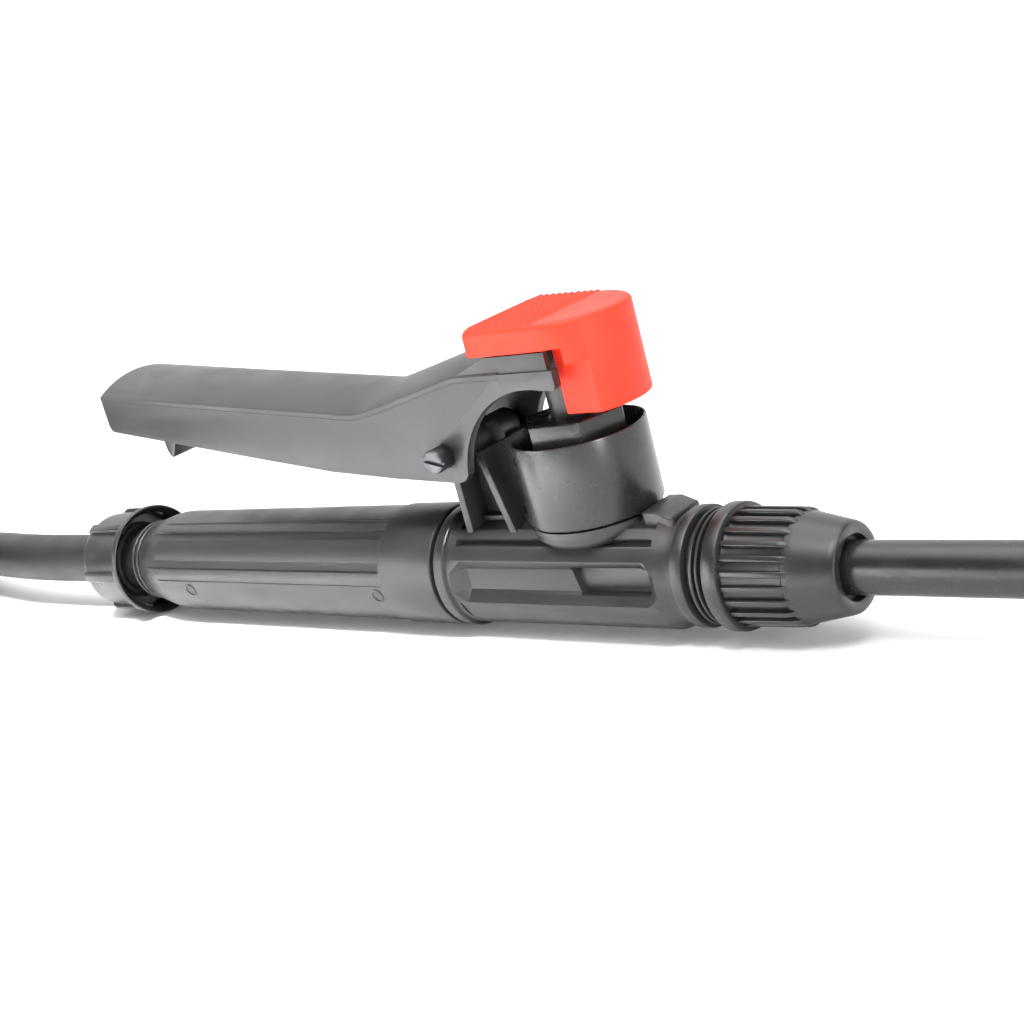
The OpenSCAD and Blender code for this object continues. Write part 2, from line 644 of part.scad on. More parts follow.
// Pivot screw: slotted head on the near side, shank through cheeks and bracket
module pivot_screw() color(STEEL) place()
    translate([-pivot_x, -lever_hw, pivot_h]) rotate([-90, 0, 0]) difference() {
        union() {
            translate([0, 0, -pin_head_len]) cylinder(h = pin_head_len, r = pin_head_r);
            cylinder(h = 2 * lever_hw + pin_nut_t + 1, r = pin_r);
        }
        translate([-pin_head_r - 1, -0.4, -pin_head_len - 1]) cube([2 * pin_head_r + 2, 0.8, 2]);
    }
module pivot_nut() color(STEEL) place()
    translate([-pivot_x, lever_hw, pivot_h]) rotate([-90, 0, 0]) difference() {
        cylinder(h = pin_nut_t, r = pin_r + 2, $fn = 6);
        translate([0, 0, -1]) cylinder(h = pin_nut_t + 2, r = pin_r);
    }

// Hose nut: a cap with an open flared mouth and six low ribs, drawn from its back face at x = 0
module cap_nut() difference() {
    union() {
        turned([[0, 0], [nut_r - 2, 0], [nut_r - 0.6, 1], [nut_r, 3], [nut_r + 0.3, nut_len - nut_flange_len],
                [nut_flange_r - 0.4, nut_len - nut_flange_len], [nut_flange_r, nut_len - nut_flange_len + 0.6],
                [nut_flange_r, nut_len - 0.4], [nut_flange_r - 0.4, nut_len], [0, nut_len]]);
        for (i = [0 : nut_ribs - 1])
            rotate([i * 360 / nut_ribs, 0, 0])
                translate([2.5, nut_r - 1.5, -nut_rib_w / 2]) cube([nut_len - 4, nut_flange_r - nut_r + 0.9, nut_rib_w]);
    }
    bar_x(-eps, nut_len, hose_r + turn_fit);
    bar_x(nut_back_wall, nut_len, seat_r + turn_fit);
    bar_x(nut_back_wall + face_gap + seat_t + washer_t, nut_len, tail_r + turn_fit);
    bar_x(nut_len - nut_mouth_len, nut_len + eps, nut_mouth_r);
}
// Barbed stub with its seat flange, drawn from the flange's back face at x = 0
module stub() difference() {
    union() {
        bar_x(0, seat_t, seat_r);
        bar_x(-barb_len, eps, barb_r - 0.7);
        for (i = [0 : 2])
            turned([[0, -barb_len + i * 4.2], [barb_r - 0.7, -barb_len + i * 4.2],
                    [barb_r, -barb_len + i * 4.2 + 3], [0, -barb_len + i * 4.2 + 3]]);
    }
    bar_x(-barb_len - eps, seat_t + eps, barb_bore_r);
}
module flat_washer(r) difference() {
    bar_x(0, washer_t, r);
    bar_x(-eps, washer_t + eps, bore_r);
}
module hose_nut() color(BLACK) place() translate([hose_nut_x0, 0, 0]) cap_nut();
module hose_barb() color(BLACK) place() translate([seat_x0, 0, 0]) stub();
module hose_washer() color(RUBBER) place() translate([seat_x0 + seat_t, 0, 0]) flat_washer(seat_r);

// Connector at the far end of the hose, lying beside the coil
hose_end_x = frame_x + seat_x0;
connector_x = hose_end_x - 6 - nut_back_wall - face_gap;
connector_y = -120;
module at_connector() translate([connector_x, connector_y, axis_z]) children();
module connector_nut() color(BLACK) at_connector() cap_nut();
module connector_barb() color(BLACK) at_connector() translate([nut_back_wall + face_gap, 0, 0]) stub();
module connector_washer() color(RUBBER)
    at_connector() translate([nut_back_wall + face_gap + seat_t, 0, 0]) flat_washer(seat_r);

// Hose: its route from the nut to the coil, and from the coil to the connector, counted from its end
// in the hose nut
coil_x = -148;
coil_y = -50;
coil_turns = 2.5;
low_z = hose_r + 0.1 - axis_z;
top_z = low_z + coil_turns * 2 * hose_r;
lead_route = [[0, 0, 0], [-15, 0, 0], [-30, 0, 0], [-45, 0.5, 0], [-60, 2.5, -0.3], [-78, 6, -1.5],
              [-98, 11, -4], [-118, 16, -6.2], [-133, coil_y + coil_r - 1, low_z + 0.3],
              [coil_x, coil_y + coil_r, low_z]];
tail_route = [[coil_x, coil_y - coil_r, top_z], [-128, connector_y, top_z - 1], [-108, connector_y, 20.5],
              [-88, connector_y, 15.5], [-68, connector_y, 9.5], [-50, connector_y, 4.5],
              [-33, connector_y, 1], [-18, connector_y, 0], [-6, connector_y, 0]];
hose_sides = 12;
function unit(v) = v / norm(v);
function heading(route, i) = unit(route[min(i + 1, len(route) - 1)] - route[max(i - 1, 0)]);
function hose_ring(route, i) =
    let (f = heading(route, i), s = unit(cross([0, 0, 1], f)), u = cross(f, s))
        [for (k = [0 : hose_sides - 1])
            route[i] + hose_r * (cos(360 * k / hose_sides) * s + sin(360 * k / hose_sides) * u)];
module tube_along(route)
    polyhedron([for (i = [0 : len(route) - 1]) each hose_ring(route, i)], tube_faces(len(route) - 1, hose_sides));
module at_hose_end() translate([hose_end_x, 0, axis_z]) children();
module hose() color(RUBBER) at_hose_end() {
    tube_along(lead_route);
    tube_along(tail_route);
}
module hose_coil() color(RUBBER)
    at_hose_end() translate([coil_x, coil_y, low_z - hose_r]) rotate_extrude()
        translate([coil_r - hose_r, 0]) square([2 * hose_r, 2 * hose_r * (1 + coil_turns)]);

// Lance nut: a flanged, ribbed gland nut with a smooth cone
module lance_nut() color(BLACK) place() translate([lance_nut_x, 0, 0]) difference() {
    union() {
        turned([[0, 0], [lance_flange_r - 0.5, 0], [lance_flange_r, 0.5], [lance_flange_r, 3], [lance_flange_r - 0.4, 3.4],
                [lance_rib_r - 1, 3.4], [lance_rib_r - 1.1, lance_rib_len],
                [lance_nose_r + 0.3, lance_nut_len - 0.8], [lance_nose_r - 0.4, lance_nut_len], [0, lance_nut_len]]);
        for (i = [0 : lance_ribs - 1])
            rotate([i * 360 / lance_ribs, 0, 0])
                translate([2, lance_rib_r - 2, -0.7]) cube([lance_rib_len - 2.5, 2, 1.4]);
    }
    bar_x(-eps, spigot_x1 - lance_nut_x + 1, spigot_r + turn_fit);
    bar_x(0, lance_nut_len, lance_r + 1.6);
    bar_x(0, lance_nut_len + eps, lance_r + 0.8);
}
module lance_seal() color(RUBBER) place() difference() {
    bar_x(spigot_x1 - 3, spigot_x1 - 0.5, lance_r + 2);
    bar_x(spigot_x1 - 4, spigot_x1 + 1, lance_r + turn_fit);
}
module lance_collet() color(WHITE) place() difference() {
    union() {
        bar_x(spigot_x1 - 0.5, spigot_x1, lance_r + 1.9);
        bar_x(spigot_x1, spigot_x1 + 0.8, spigot_r - 1.5);
        bar_x(spigot_x1 + 0.8, lance_nut_x1 - 2, lance_r + 1.5);
    }
    bar_x(spigot_x1 - 1, lance_nut_x1, lance_r + turn_fit);
}
module lance_tube() color(BLACK) place() difference() {
    bar_x(lance_x0, lance_x1, lance_r);
    bar_x(lance_x0 - eps, lance_x1 + eps, lance_bore_r);
}

// Nozzle: elbow, seal, swirl plug and cap
module along_nozzle()
    translate([bend_x + elbow_bend_r * sin(nozzle_angle), 0, elbow_bend_r * (1 - cos(nozzle_angle))])
        rotate([0, -nozzle_angle, 0]) children();
// A round bar that follows the elbow's bend
module bent_bar(r)
    translate([bend_x, 0, elbow_bend_r]) rotate([90, 0, 0]) rotate([0, 0, -90])
        rotate_extrude(angle = nozzle_angle) translate([elbow_bend_r, 0]) circle(r = r);
module nozzle_elbow() color(BLACK) place() difference() {
    union() {
        turned([[0, lance_x1 - elbow_socket_len], [elbow_r - 0.3, lance_x1 - elbow_socket_len],
                [elbow_r + 0.5, lance_x1 - elbow_socket_len + 0.8], [elbow_r + 0.5, bend_x + 1],
                [0, bend_x + 1]]);
        bent_bar(elbow_r);
        along_nozzle() bar_x(-1, cap_from_bend - 1, elbow_r + 0.5);
        along_nozzle() bar_x(-1, elbow_spigot_len, elbow_r - 1.5);
    }
    bar_x(lance_x1 - elbow_socket_len - eps, lance_x1, lance_r);
    bar_x(lance_x1 - 1, bend_x + 0.5, elbow_bore_r + 0.2);
    bent_bar(elbow_bore_r);
    along_nozzle() bar_x(-0.5, elbow_spigot_len + eps, elbow_bore_r + 0.2);
    along_nozzle() bar_x(elbow_spigot_len - 5, elbow_spigot_len + eps, swirl_r);
}
module nozzle_seal() color(RUBBER) place() along_nozzle() translate([cap_from_bend - 1, 0, 0]) difference() {
    bar_x(0, 1, elbow_r - 0.6);
    bar_x(-1, 2, elbow_r - 1.5);
}
module swirl_plug() color(WHITE) place() along_nozzle() difference() {
    bar_x(elbow_spigot_len - 4.5, elbow_spigot_len + plug_out, swirl_r);
    for (a = [0 : 90 : 270])
        rotate([a, 0, 0]) translate([elbow_spigot_len - 5, swirl_r - 1, -0.6]) cube([9, 2, 1.2]);
}
module nozzle_cap() color(BLACK) place() along_nozzle() translate([cap_from_bend, 0, 0]) difference() {
    turned([[0, 0], [cap_r - 0.5, 0], [cap_r, 0.5], [cap_r, cap_len - 5], [cap_r - 1, cap_len - 0.5], [cap_r - 1.5, cap_len], [0, cap_len]]);
    bar_x(-eps, cap_depth, elbow_r - 1.5 + turn_fit);
    bar_x(0, cap_len + eps, spray_r);
    for (i = [0 : 11])
        rotate([i * 30, 0, 0]) translate([1, cap_r - 0.5, -0.8]) cube([cap_len - 7, 2, 1.6]);
}

grip();
strainer();
body_seal();
valve_body();
bonnet_nut();
stem_seal();
valve_spring();
valve_disc();
valve_stem();
thumb_head();
lever();
pivot_screw();
pivot_nut();
hose_nut();
hose_barb();
hose_washer();
hose();
hose_coil();
connector_barb();
connector_washer();
connector_nut();
lance_nut();
lance_collet();
lance_seal();
lance_tube();
nozzle_elbow();
nozzle_seal();
swirl_plug();
nozzle_cap();
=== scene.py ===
# %% [markdown]
# # Trigger handle of a hand sprayer
# A hose brings the liquid to a round grip, a squeeze lever lifts a red thumb head, and the valve
# under it lets the liquid through to a black lance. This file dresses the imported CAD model: each
# visible piece is modelled again with its small roundings, and gets a moulded-plastic finish.

import json
import math

import bpy
from mathutils import Matrix, Vector


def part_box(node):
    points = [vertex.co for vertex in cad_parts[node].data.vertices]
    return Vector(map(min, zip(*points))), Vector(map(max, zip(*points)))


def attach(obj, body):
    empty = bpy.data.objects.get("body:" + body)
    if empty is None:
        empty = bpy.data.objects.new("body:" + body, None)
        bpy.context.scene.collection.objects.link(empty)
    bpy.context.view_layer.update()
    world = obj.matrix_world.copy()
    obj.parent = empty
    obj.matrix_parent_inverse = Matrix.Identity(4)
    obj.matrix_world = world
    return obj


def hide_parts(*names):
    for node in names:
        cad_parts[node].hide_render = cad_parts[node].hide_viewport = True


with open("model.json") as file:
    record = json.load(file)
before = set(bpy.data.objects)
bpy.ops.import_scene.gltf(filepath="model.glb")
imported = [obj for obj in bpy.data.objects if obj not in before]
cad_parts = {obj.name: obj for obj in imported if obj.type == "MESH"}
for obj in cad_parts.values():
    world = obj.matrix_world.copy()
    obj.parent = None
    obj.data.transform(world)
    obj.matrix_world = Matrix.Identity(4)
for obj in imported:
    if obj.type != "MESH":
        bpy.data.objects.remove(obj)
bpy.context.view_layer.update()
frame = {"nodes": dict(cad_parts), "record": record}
bpy.ops.object.select_all(action="DESELECT")

# %% [markdown]
# ## Where things are
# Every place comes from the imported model, in metres. The handle axis runs along X at the height of
# the hose nut's flange, and the stem axis stands upright through the middle of the bonnet nut.

# %% Axes of the object
MM = 0.001
bonnet_low, bonnet_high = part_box("bonnet_nut")
STEM_X = (bonnet_low[0] + bonnet_high[0]) / 2
nut_low, nut_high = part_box("hose_nut")
AXIS_Z = (nut_low[2] + nut_high[2]) / 2
print("stem axis at x =", round(STEM_X, 5), "handle axis at z =", round(AXIS_Z, 5))


def at(x, y, z):
    """A place in metres from millimetres counted from where the stem axis meets the handle axis."""
    return Vector((STEM_X + x * MM, y * MM, AXIS_Z + z * MM))


# %% [markdown]
# ## The camera
# The handle is looked at from its left front and a little above, with the camera tilted so that
# the lance runs nearly level across the picture. A long lens keeps the shape calm.

# %% Camera
camera_data = bpy.data.cameras.new("camera")
camera_data.lens = 58.71
camera_data.sensor_width = 36
camera_data.clip_start = 0.02
camera_data.clip_end = 50
camera = bpy.data.objects.new("camera", camera_data)
bpy.context.scene.collection.objects.link(camera)
bpy.context.scene.camera = camera
azimuth, elevation, tilt = math.radians(43.115), math.radians(15.767), math.radians(-15.11)
looking = Vector((-math.sin(azimuth) * math.cos(elevation), math.cos(azimuth) * math.cos(elevation),
                  -math.sin(elevation)))
camera.location = at(205.29, -243.71, 105.83)
camera.rotation_mode = "QUATERNION"
camera.rotation_quaternion = looking.to_track_quat("-Z", "Y") @ Matrix.Rotation(tilt, 3, "Z").to_quaternion()
print("camera at", [round(v, 3) for v in camera.location])

# %% [markdown]
# ## Materials from expressions
# A finish is a small sum of noises. Writing those sums node by node is slow to read, so a thin
# wrapper round a socket lets them be written as ordinary arithmetic, and one method makes every
# other node.


# %% Socket arithmetic
class Wire:
    """A node's output socket that can be added, multiplied and compared like a number."""

    def __init__(self, finish, socket):
        self.finish, self.socket = finish, socket

    def _math(self, operation, first, second=None):
        wired = {0: first} if second is None else {0: first, 1: second}
        return self.finish.node("ShaderNodeMath", {"operation": operation}, wired)

    def __add__(self, other):
        return self._math("ADD", self, other)

    def __radd__(self, other):
        return self._math("ADD", other, self)

    def __sub__(self, other):
        return self._math("SUBTRACT", self, other)

    def __rsub__(self, other):
        return self._math("SUBTRACT", other, self)

    def __mul__(self, other):
        return self._math("MULTIPLY", self, other)

    def __rmul__(self, other):
        return self._math("MULTIPLY", other, self)

    def __truediv__(self, other):
        return self._math("DIVIDE", self, other)

    def __pow__(self, other):
        return self._math("POWER", self, other)

    def __gt__(self, other):
        return self._math("GREATER_THAN", self, other)


class Finish:
    """A material with one Principled surface, and a method that adds and wires a node."""

    def __init__(self, name, **fixed):
        self.material = bpy.data.materials.new(name)
        self.material.use_nodes = True
        self.tree = self.material.node_tree
        self.surface = self.tree.nodes["Principled BSDF"]
        for socket, value in fixed.items():
            self.surface.inputs[socket.replace("_", " ")].default_value = value

    def node(self, kind, settings=None, wired=None, out=0):
        node = self.tree.nodes.new(kind)
        for name, value in (settings or {}).items():
            if name == "stops":
                ramp = node.color_ramp.elements
                while len(ramp) < len(value):
                    ramp.new(0.5)
                for element, (place, colour) in zip(ramp, value):
                    element.position, element.color = place, colour
            else:
                setattr(node, name, value)
        for name, value in (wired or {}).items():
            if isinstance(value, Wire):
                self.tree.links.new(value.socket, node.inputs[name])
            else:
                node.inputs[name].default_value = value
        return Wire(self, node.outputs[out])

    def place(self):
        """The point on the piece, in metres."""
        return self.node("ShaderNodeTexCoord", out="Object")

    def noise(self, size, detail=2.0, rough=0.5, where=None):
        """Noise from 0 to 1 whose spots are about size millimetres wide."""
        return self.node("ShaderNodeTexNoise", {}, {"Vector": where or self.place(), "Scale": 1 / (size * MM),
                                                    "Detail": detail, "Roughness": rough}, "Fac")

    def mix(self, share, first, second):
        """A colour between two colours."""
        return self.node("ShaderNodeMix", {"data_type": "RGBA"}, {0: share, 6: first, 7: second}, 2)

    def between(self, value, low, high, out_low=0.0, out_high=1.0):
        """value from low to high, turned into out_low to out_high and kept there."""
        return self.node("ShaderNodeMapRange", {"clamp": True},
                         {"Value": value, "From Min": low, "From Max": high, "To Min": out_low, "To Max": out_high})

    def wire(self, socket, value):
        self.tree.links.new(value.socket, self.surface.inputs[socket])

    def bump(self, height, depth_mm):
        """Raises the surface by up to depth_mm where height is 1."""
        bumped = self.node("ShaderNodeBump", {}, {"Height": height, "Strength": 1.0, "Distance": depth_mm * MM},
                           "Normal")
        self.wire("Normal", bumped)


print("wrapper ready")

# %% [markdown]
# ## Moulded black plastic
# The handle is injection-moulded polypropylene: a dark grey-black that catches broad soft
# highlights. The mould leaves a fine satin grain, the flow of the melt a faint cloudiness in the
# gloss, and handling a few pale specks.


# %% Black plastics
def moulded(name, dark, light, rough, grain=0.02, specks=0.5, gloss_cloud=0.07, spec=0.5):
    """A satin moulded plastic between two shades."""
    finish = Finish(name, IOR=1.5, Specular_IOR_Level=spec)
    cloud = finish.noise(9, 3)
    fine = finish.noise(0.6, 3, 0.6)
    dust = finish.between(finish.noise(1.1, 1), 0.71, 0.76) * specks
    shade = finish.mix(cloud * 0.6 + fine * 0.4, dark, light)
    pale = [min(1, 2.6 * v + 0.012) for v in light[:3]] + [1]
    finish.wire("Base Color", finish.mix(dust * 0.35, shade, pale))
    finish.wire("Roughness", finish.between(cloud, 0.25, 0.75, rough - gloss_cloud, rough + gloss_cloud)
                + dust * 0.12)
    finish.bump(finish.noise(0.35, 2, 0.6), grain)
    return finish.material


BLACK = moulded("moulded_black", (0.011, 0.011, 0.0115, 1), (0.019, 0.019, 0.0195, 1), 0.40)
GRIP_BLACK = moulded("grip_black", (0.013, 0.013, 0.0135, 1), (0.021, 0.021, 0.0215, 1), 0.39)
NUT_BLACK = moulded("nut_black", (0.009, 0.009, 0.0095, 1), (0.015, 0.015, 0.0155, 1), 0.33)
GLOSS_BLACK = moulded("gloss_black", (0.009, 0.009, 0.0095, 1), (0.015, 0.015, 0.0155, 1), 0.27, 0.006, 0.2, 0.02)
TUBE_BLACK = moulded("lance_black", (0.010, 0.010, 0.0105, 1), (0.016, 0.016, 0.0165, 1), 0.28, 0.006, 0.2)
RED = moulded("moulded_red", (0.80, 0.030, 0.012, 1), (0.90, 0.042, 0.018, 1), 0.5, 0.008, 0.15, spec=0.2)
WHITE = moulded("moulded_white", (0.62, 0.62, 0.59, 1), (0.72, 0.72, 0.69, 1), 0.4, 0.01, 0.1)
HOSE_BLACK = moulded("hose_rubber", (0.010, 0.010, 0.0105, 1), (0.017, 0.017, 0.0175, 1), 0.48, 0.02, 0.6, spec=0.3)
SEAL_RUBBER = moulded("seal_rubber", (0.010, 0.010, 0.010, 1), (0.018, 0.018, 0.018, 1), 0.62, 0.02, 0.3)
print("plastics:", [m.name for m in (BLACK, GRIP_BLACK, NUT_BLACK, TUBE_BLACK, RED, WHITE)])

# %% [markdown]
# ## Steel
# The pivot screw is blackened steel and the spring inside is plain drawn wire. Metal needs its
# Metallic value at 1, and its look is then all in the roughness.


# %% Steels
def steel(name, colour, rough):
    finish = Finish(name, Metallic=1.0)
    wear = finish.noise(1.2, 3, 0.6)
    finish.wire("Base Color", finish.mix(wear, colour, [v * 0.7 for v in colour[:3]] + [1]))
    finish.wire("Roughness", finish.between(wear, 0.3, 0.7, rough - 0.08, rough + 0.1))
    finish.bump(finish.noise(0.3, 2), 0.004)
    return finish.material


DARK_STEEL = steel("blackened_steel", (0.10, 0.10, 0.105, 1), 0.36)
SPRING_STEEL = steel("spring_wire", (0.62, 0.61, 0.59, 1), 0.28)

# %% [markdown]
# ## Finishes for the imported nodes
# Inner pieces such as the spring, the seals and the strainer are seen only through gaps. Their CAD
# shape is right as it is, so they keep it and only get a better material.

# %% Dress the CAD nodes
FINISHES = {"black_plastic": BLACK, "red_plastic": RED, "white_plastic": WHITE, "lance_tube": TUBE_BLACK,
            "hose_rubber": HOSE_BLACK, "seal_rubber": SEAL_RUBBER, "spring_steel": SPRING_STEEL,
            "dark_steel": DARK_STEEL}
for part in frame["record"]["subparts"]:
    node = frame["nodes"][part["node"]]
    node.data.materials.clear()
    node.data.materials.append(FINISHES[part["material_slot"]])

# %% [markdown]
# ## Modelling in code
# Most pieces of a moulded handle are either turned, like the grip, or cut from a flat outline, like
# the lever. Both start from a single vertex that is extruded along an outline. A turned piece is
# then spun round its axis, and a flat one is filled and extruded to its thickness.


# %% Drawing an outline
def draw(name, points):
    """A piece whose vertices follow the points, in edit mode and all selected."""
    bpy.ops.object.select_all(action="DESELECT")
    bpy.ops.mesh.primitive_plane_add(size=MM, location=points[0])
    piece = bpy.context.object
    piece.name = piece.data.name = name
    bpy.ops.object.transform_apply(location=True, rotation=True, scale=True)
    bpy.ops.object.mode_set(mode="EDIT")
    bpy.ops.mesh.select_mode(type="VERT")
    bpy.ops.mesh.select_all(action="SELECT")
    bpy.ops.mesh.merge(type="CENTER")
    for before, after in zip(points, points[1:]):
        bpy.ops.mesh.extrude_region_move(TRANSFORM_OT_translate={"value": after - before})
    bpy.ops.mesh.select_all(action="SELECT")
    return piece


def tidy():
    """Merges doubles, turns faces outwards and leaves edit mode."""
    bpy.ops.mesh.select_all(action="SELECT")
    bpy.ops.mesh.remove_doubles(threshold=0.002 * MM)
    bpy.ops.mesh.normals_make_consistent(inside=False)
    bpy.ops.object.mode_set(mode="OBJECT")


def turned(name, outline, centre=None, axis="X", steps=96):
    """A solid spun from (place along the axis, radius) points in millimetres. Closed outlines give rings."""
    centre = at(0, 0, 0) if centre is None else centre
    along, out = (Vector((1, 0, 0)), Vector((0, 0, 1))) if axis == "X" else (Vector((0, 0, 1)), Vector((1, 0, 0)))
    piece = draw(name, [centre + along * a * MM + out * r * MM for a, r in outline])
    bpy.ops.mesh.spin(steps=steps, angle=math.tau, center=centre, axis=along)
    tidy()
    return piece


def slab(name, outline, low, high, plane="XZ"):
    """A flat outline in millimetres, pushed out from low to high across its plane."""
    if plane == "XZ":
        points, push = [at(a, low, b) for a, b in outline], Vector((0, high - low, 0))
    elif plane == "XY":
        points, push = [at(a, b, low) for a, b in outline], Vector((0, 0, high - low))
    else:
        points, push = [at(low, a, b) for a, b in outline], Vector((high - low, 0, 0))
    piece = draw(name, points)
    bpy.ops.mesh.edge_face_add()
    bpy.ops.mesh.extrude_region_move(TRANSFORM_OT_translate={"value": push * MM})
    tidy()
    return piece


def carried(name, outline, x0, steps):
    """An outline across X, filled and then extruded step by step. Each step is a shift in millimetres
    and the scale of the new end about the handle axis."""
    piece = draw(name, [at(x0, y, z) for y, z in outline])
    bpy.ops.mesh.edge_face_add()
    x = x0
    for shift, scale in steps:
        bpy.ops.mesh.extrude_region_move(TRANSFORM_OT_translate={"value": Vector(shift) * MM})
        x += shift[0]
        bpy.ops.transform.resize(value=(1, scale, scale), center_override=at(x, 0, 0))
    tidy()
    return piece


def arc(cx, cz, radius, start, end, count=10):
    """Points on a circle from one angle to another, in degrees."""
    angles = [math.radians(start + (end - start) * i / count) for i in range(count + 1)]
    return [(cx + radius * math.cos(a), cz + radius * math.sin(a)) for a in angles]


def polar(*pairs):
    """Points across the handle from (degrees above the near horizontal, radius) pairs."""
    return [(-r * math.cos(math.radians(a)), r * math.sin(math.radians(a))) for a, r in pairs]


print("outline tools ready")

# %% [markdown]
# ## Cutting, rounding and joining
# A mould leaves no knife-sharp edge. Holes and pockets are cut with the Boolean modifier, then the
# Bevel modifier rounds every edge that is sharper than an angle, and shading is smoothed by angle.


# %% Cut, soften and join
def apply(piece, modifier):
    bpy.ops.object.select_all(action="DESELECT")
    piece.select_set(True)
    bpy.context.view_layer.objects.active = piece
    bpy.ops.object.modifier_apply(modifier=modifier.name)


def combine(piece, tools, operation):
    for tool in tools:
        modifier = piece.modifiers.new("combine", "BOOLEAN")
        modifier.operation, modifier.object, modifier.solver = operation, tool, "EXACT"
        apply(piece, modifier)
        bpy.data.objects.remove(tool)
    return piece


def cut(piece, *tools):
    return combine(piece, tools, "DIFFERENCE")


def soften(piece, width=0.3, segments=2, angle=32, smooth=38, clamp=True):
    """Rounds the edges sharper than angle by width millimetres and smooths the shading."""
    bpy.ops.object.select_all(action="DESELECT")
    piece.select_set(True)
    bpy.context.view_layer.objects.active = piece
    if width:
        bpy.ops.object.mode_set(mode="EDIT")
        bpy.ops.mesh.select_all(action="SELECT")
        bpy.ops.mesh.remove_doubles(threshold=0.03 * MM)
        bpy.ops.object.mode_set(mode="OBJECT")
        modifier = piece.modifiers.new("rounding", "BEVEL")
        modifier.width, modifier.segments = width * MM, segments
        modifier.limit_method, modifier.angle_limit = "ANGLE", math.radians(angle)
        modifier.use_clamp_overlap, modifier.miter_outer = clamp, "MITER_ARC"
        apply(piece, modifier)
    bpy.ops.object.shade_smooth_by_angle(angle=math.radians(smooth))
    return piece


def join(name, *pieces):
    bpy.ops.object.select_all(action="DESELECT")
    for piece in pieces:
        piece.select_set(True)
    bpy.context.view_layer.objects.active = pieces[0]
    bpy.ops.object.join()
    pieces[0].name = pieces[0].data.name = name
    return pieces[0]


def around(piece, count, centre=None, axis="X"):
    """Repeats the piece's own mesh evenly round an axis."""
    bpy.ops.object.select_all(action="DESELECT")
    piece.select_set(True)
    bpy.context.view_layer.objects.active = piece
    bpy.ops.object.mode_set(mode="EDIT")
    bpy.ops.mesh.select_all(action="SELECT")
    bpy.ops.mesh.spin(steps=count, dupli=True, angle=math.tau, center=at(0, 0, 0) if centre is None else centre,
                      axis=(1, 0, 0) if axis == "X" else (0, 0, 1))
    tidy()
    return piece


def copy_of(piece, name, shift=Vector((0, 0, 0)), matrix=None):
    twin = piece.copy()
    twin.data = piece.data.copy()
    twin.name = twin.data.name = name
    twin.data.transform(matrix if matrix else Matrix.Translation(shift))
    bpy.context.scene.collection.objects.link(twin)
    return twin


def finish_piece(piece, body, slot, material, *nodes):
    """Gives a piece its material and body, and lets it stand for its CAD nodes. The slot argument is not used."""
    piece.data.materials.clear()
    piece.data.materials.append(material)
    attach(piece, body)
    if nodes:
        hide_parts(*nodes)
    print(piece.name, "faces:", len(piece.data.polygons) if piece.type == "MESH" else "curve")
    return piece


# %% [markdown]
# ## The hose nut
# A union nut presses the hose's barb against the threaded tail of the grip. Its body is a plain
# cap with six low ribs for the fingers and a wide flange with an open mouth, so the tail's thread
# shows in the dark gap. It is spun as one closed ring, and a single rib is repeated round it.

# %% Hose nut
NUT_X0 = (nut_low[0] - STEM_X) / MM
NUT_BACK = at(NUT_X0, 0, 0)
nut_outline = [(0, 6.6), (0, 9.6), (0.35, 10.5), (1.1, 11.3), (2.4, 11.9), (3.6, 12.1), (15.5, 12.5), (15.9, 12.7),
               (16.1, 13.3), (16.4, 13.8), (16.9, 14.0), (17.9, 14.0), (18.2, 13.88), (18.3, 13.7), (18.2, 13.5),
               (17.9, 13.4), (16.6, 12.3), (15.6, 11.9), (11.4, 11.7), (11.3, 9.75), (7.0, 9.72), (6.8, 8.1), (3.0, 8.1),
               (3.0, 6.6), (0, 6.6)]
hose_nut = turned("hose_nut_cap", nut_outline, NUT_BACK)
rib = slab("nut_rib", [(NUT_X0 + 1.2, 10.6), (NUT_X0 + 2.2, 12.7), (NUT_X0 + 3.4, 13.3), (NUT_X0 + 16.3, 13.45),
                       (NUT_X0 + 16.3, 11.6), (NUT_X0 + 15.0, 11.9), (NUT_X0 + 11.0, 11.75)], -1.15, 1.15, "XY")
soften(rib, 0.4, 3)
around(rib, 6)
soften(hose_nut, 0, smooth=30)
hose_nut = join("hose_nut_cap", hose_nut, rib)
connector_low, connector_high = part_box("connector_nut")
to_connector = Vector((connector_low[0] - nut_low[0], (connector_low[1] + connector_high[1]) / 2, 0))
connector = copy_of(hose_nut, "connector_cap", to_connector)
finish_piece(hose_nut, "hose_nut", "black_plastic", NUT_BLACK, "hose_nut")
finish_piece(connector, "connector_nut", "black_plastic", NUT_BLACK, "connector_nut")

# %% [markdown]
# ## The hose
# The hose leaves the nut level, sags onto the table and is wound into a coil beside the handle,
# with a nut like the first on its far end. It has one real length, so it is one curve: the lead,
# two and a half turns that lie on each other a diameter apart, and the tail.

# %% Route of the hose
HOSE_R = 6.4
HOSE_END = at(NUT_X0 + 3.1, 0, 0)
coil_low, coil_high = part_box("hose_coil")
COIL = Vector(((coil_low[0] + coil_high[0]) / 2, (coil_low[1] + coil_high[1]) / 2, coil_low[2] + HOSE_R * MM))
COIL_R = (coil_high[0] - coil_low[0]) / 2 - HOSE_R * MM
lead = [(0, 0, 0), (-15, 0, 0), (-30, 0, 0), (-45, 0.5, 0), (-60, 2.5, -0.3), (-78, 6, -1.5), (-98, 11, -4),
        (-118, 16, -6.2), (-133, 19, -7.2)]
tail = [(-128, -120, 23.5), (-108, -120, 20.5), (-88, -120, 15.5), (-68, -120, 9.5), (-50, -120, 4.5),
        (-33, -120, 1), (-18, -120, 0), (-6, -120, 0)]
STEPS, TURNS, PITCH = 20, 2.5, 2 * HOSE_R * MM
turns = []
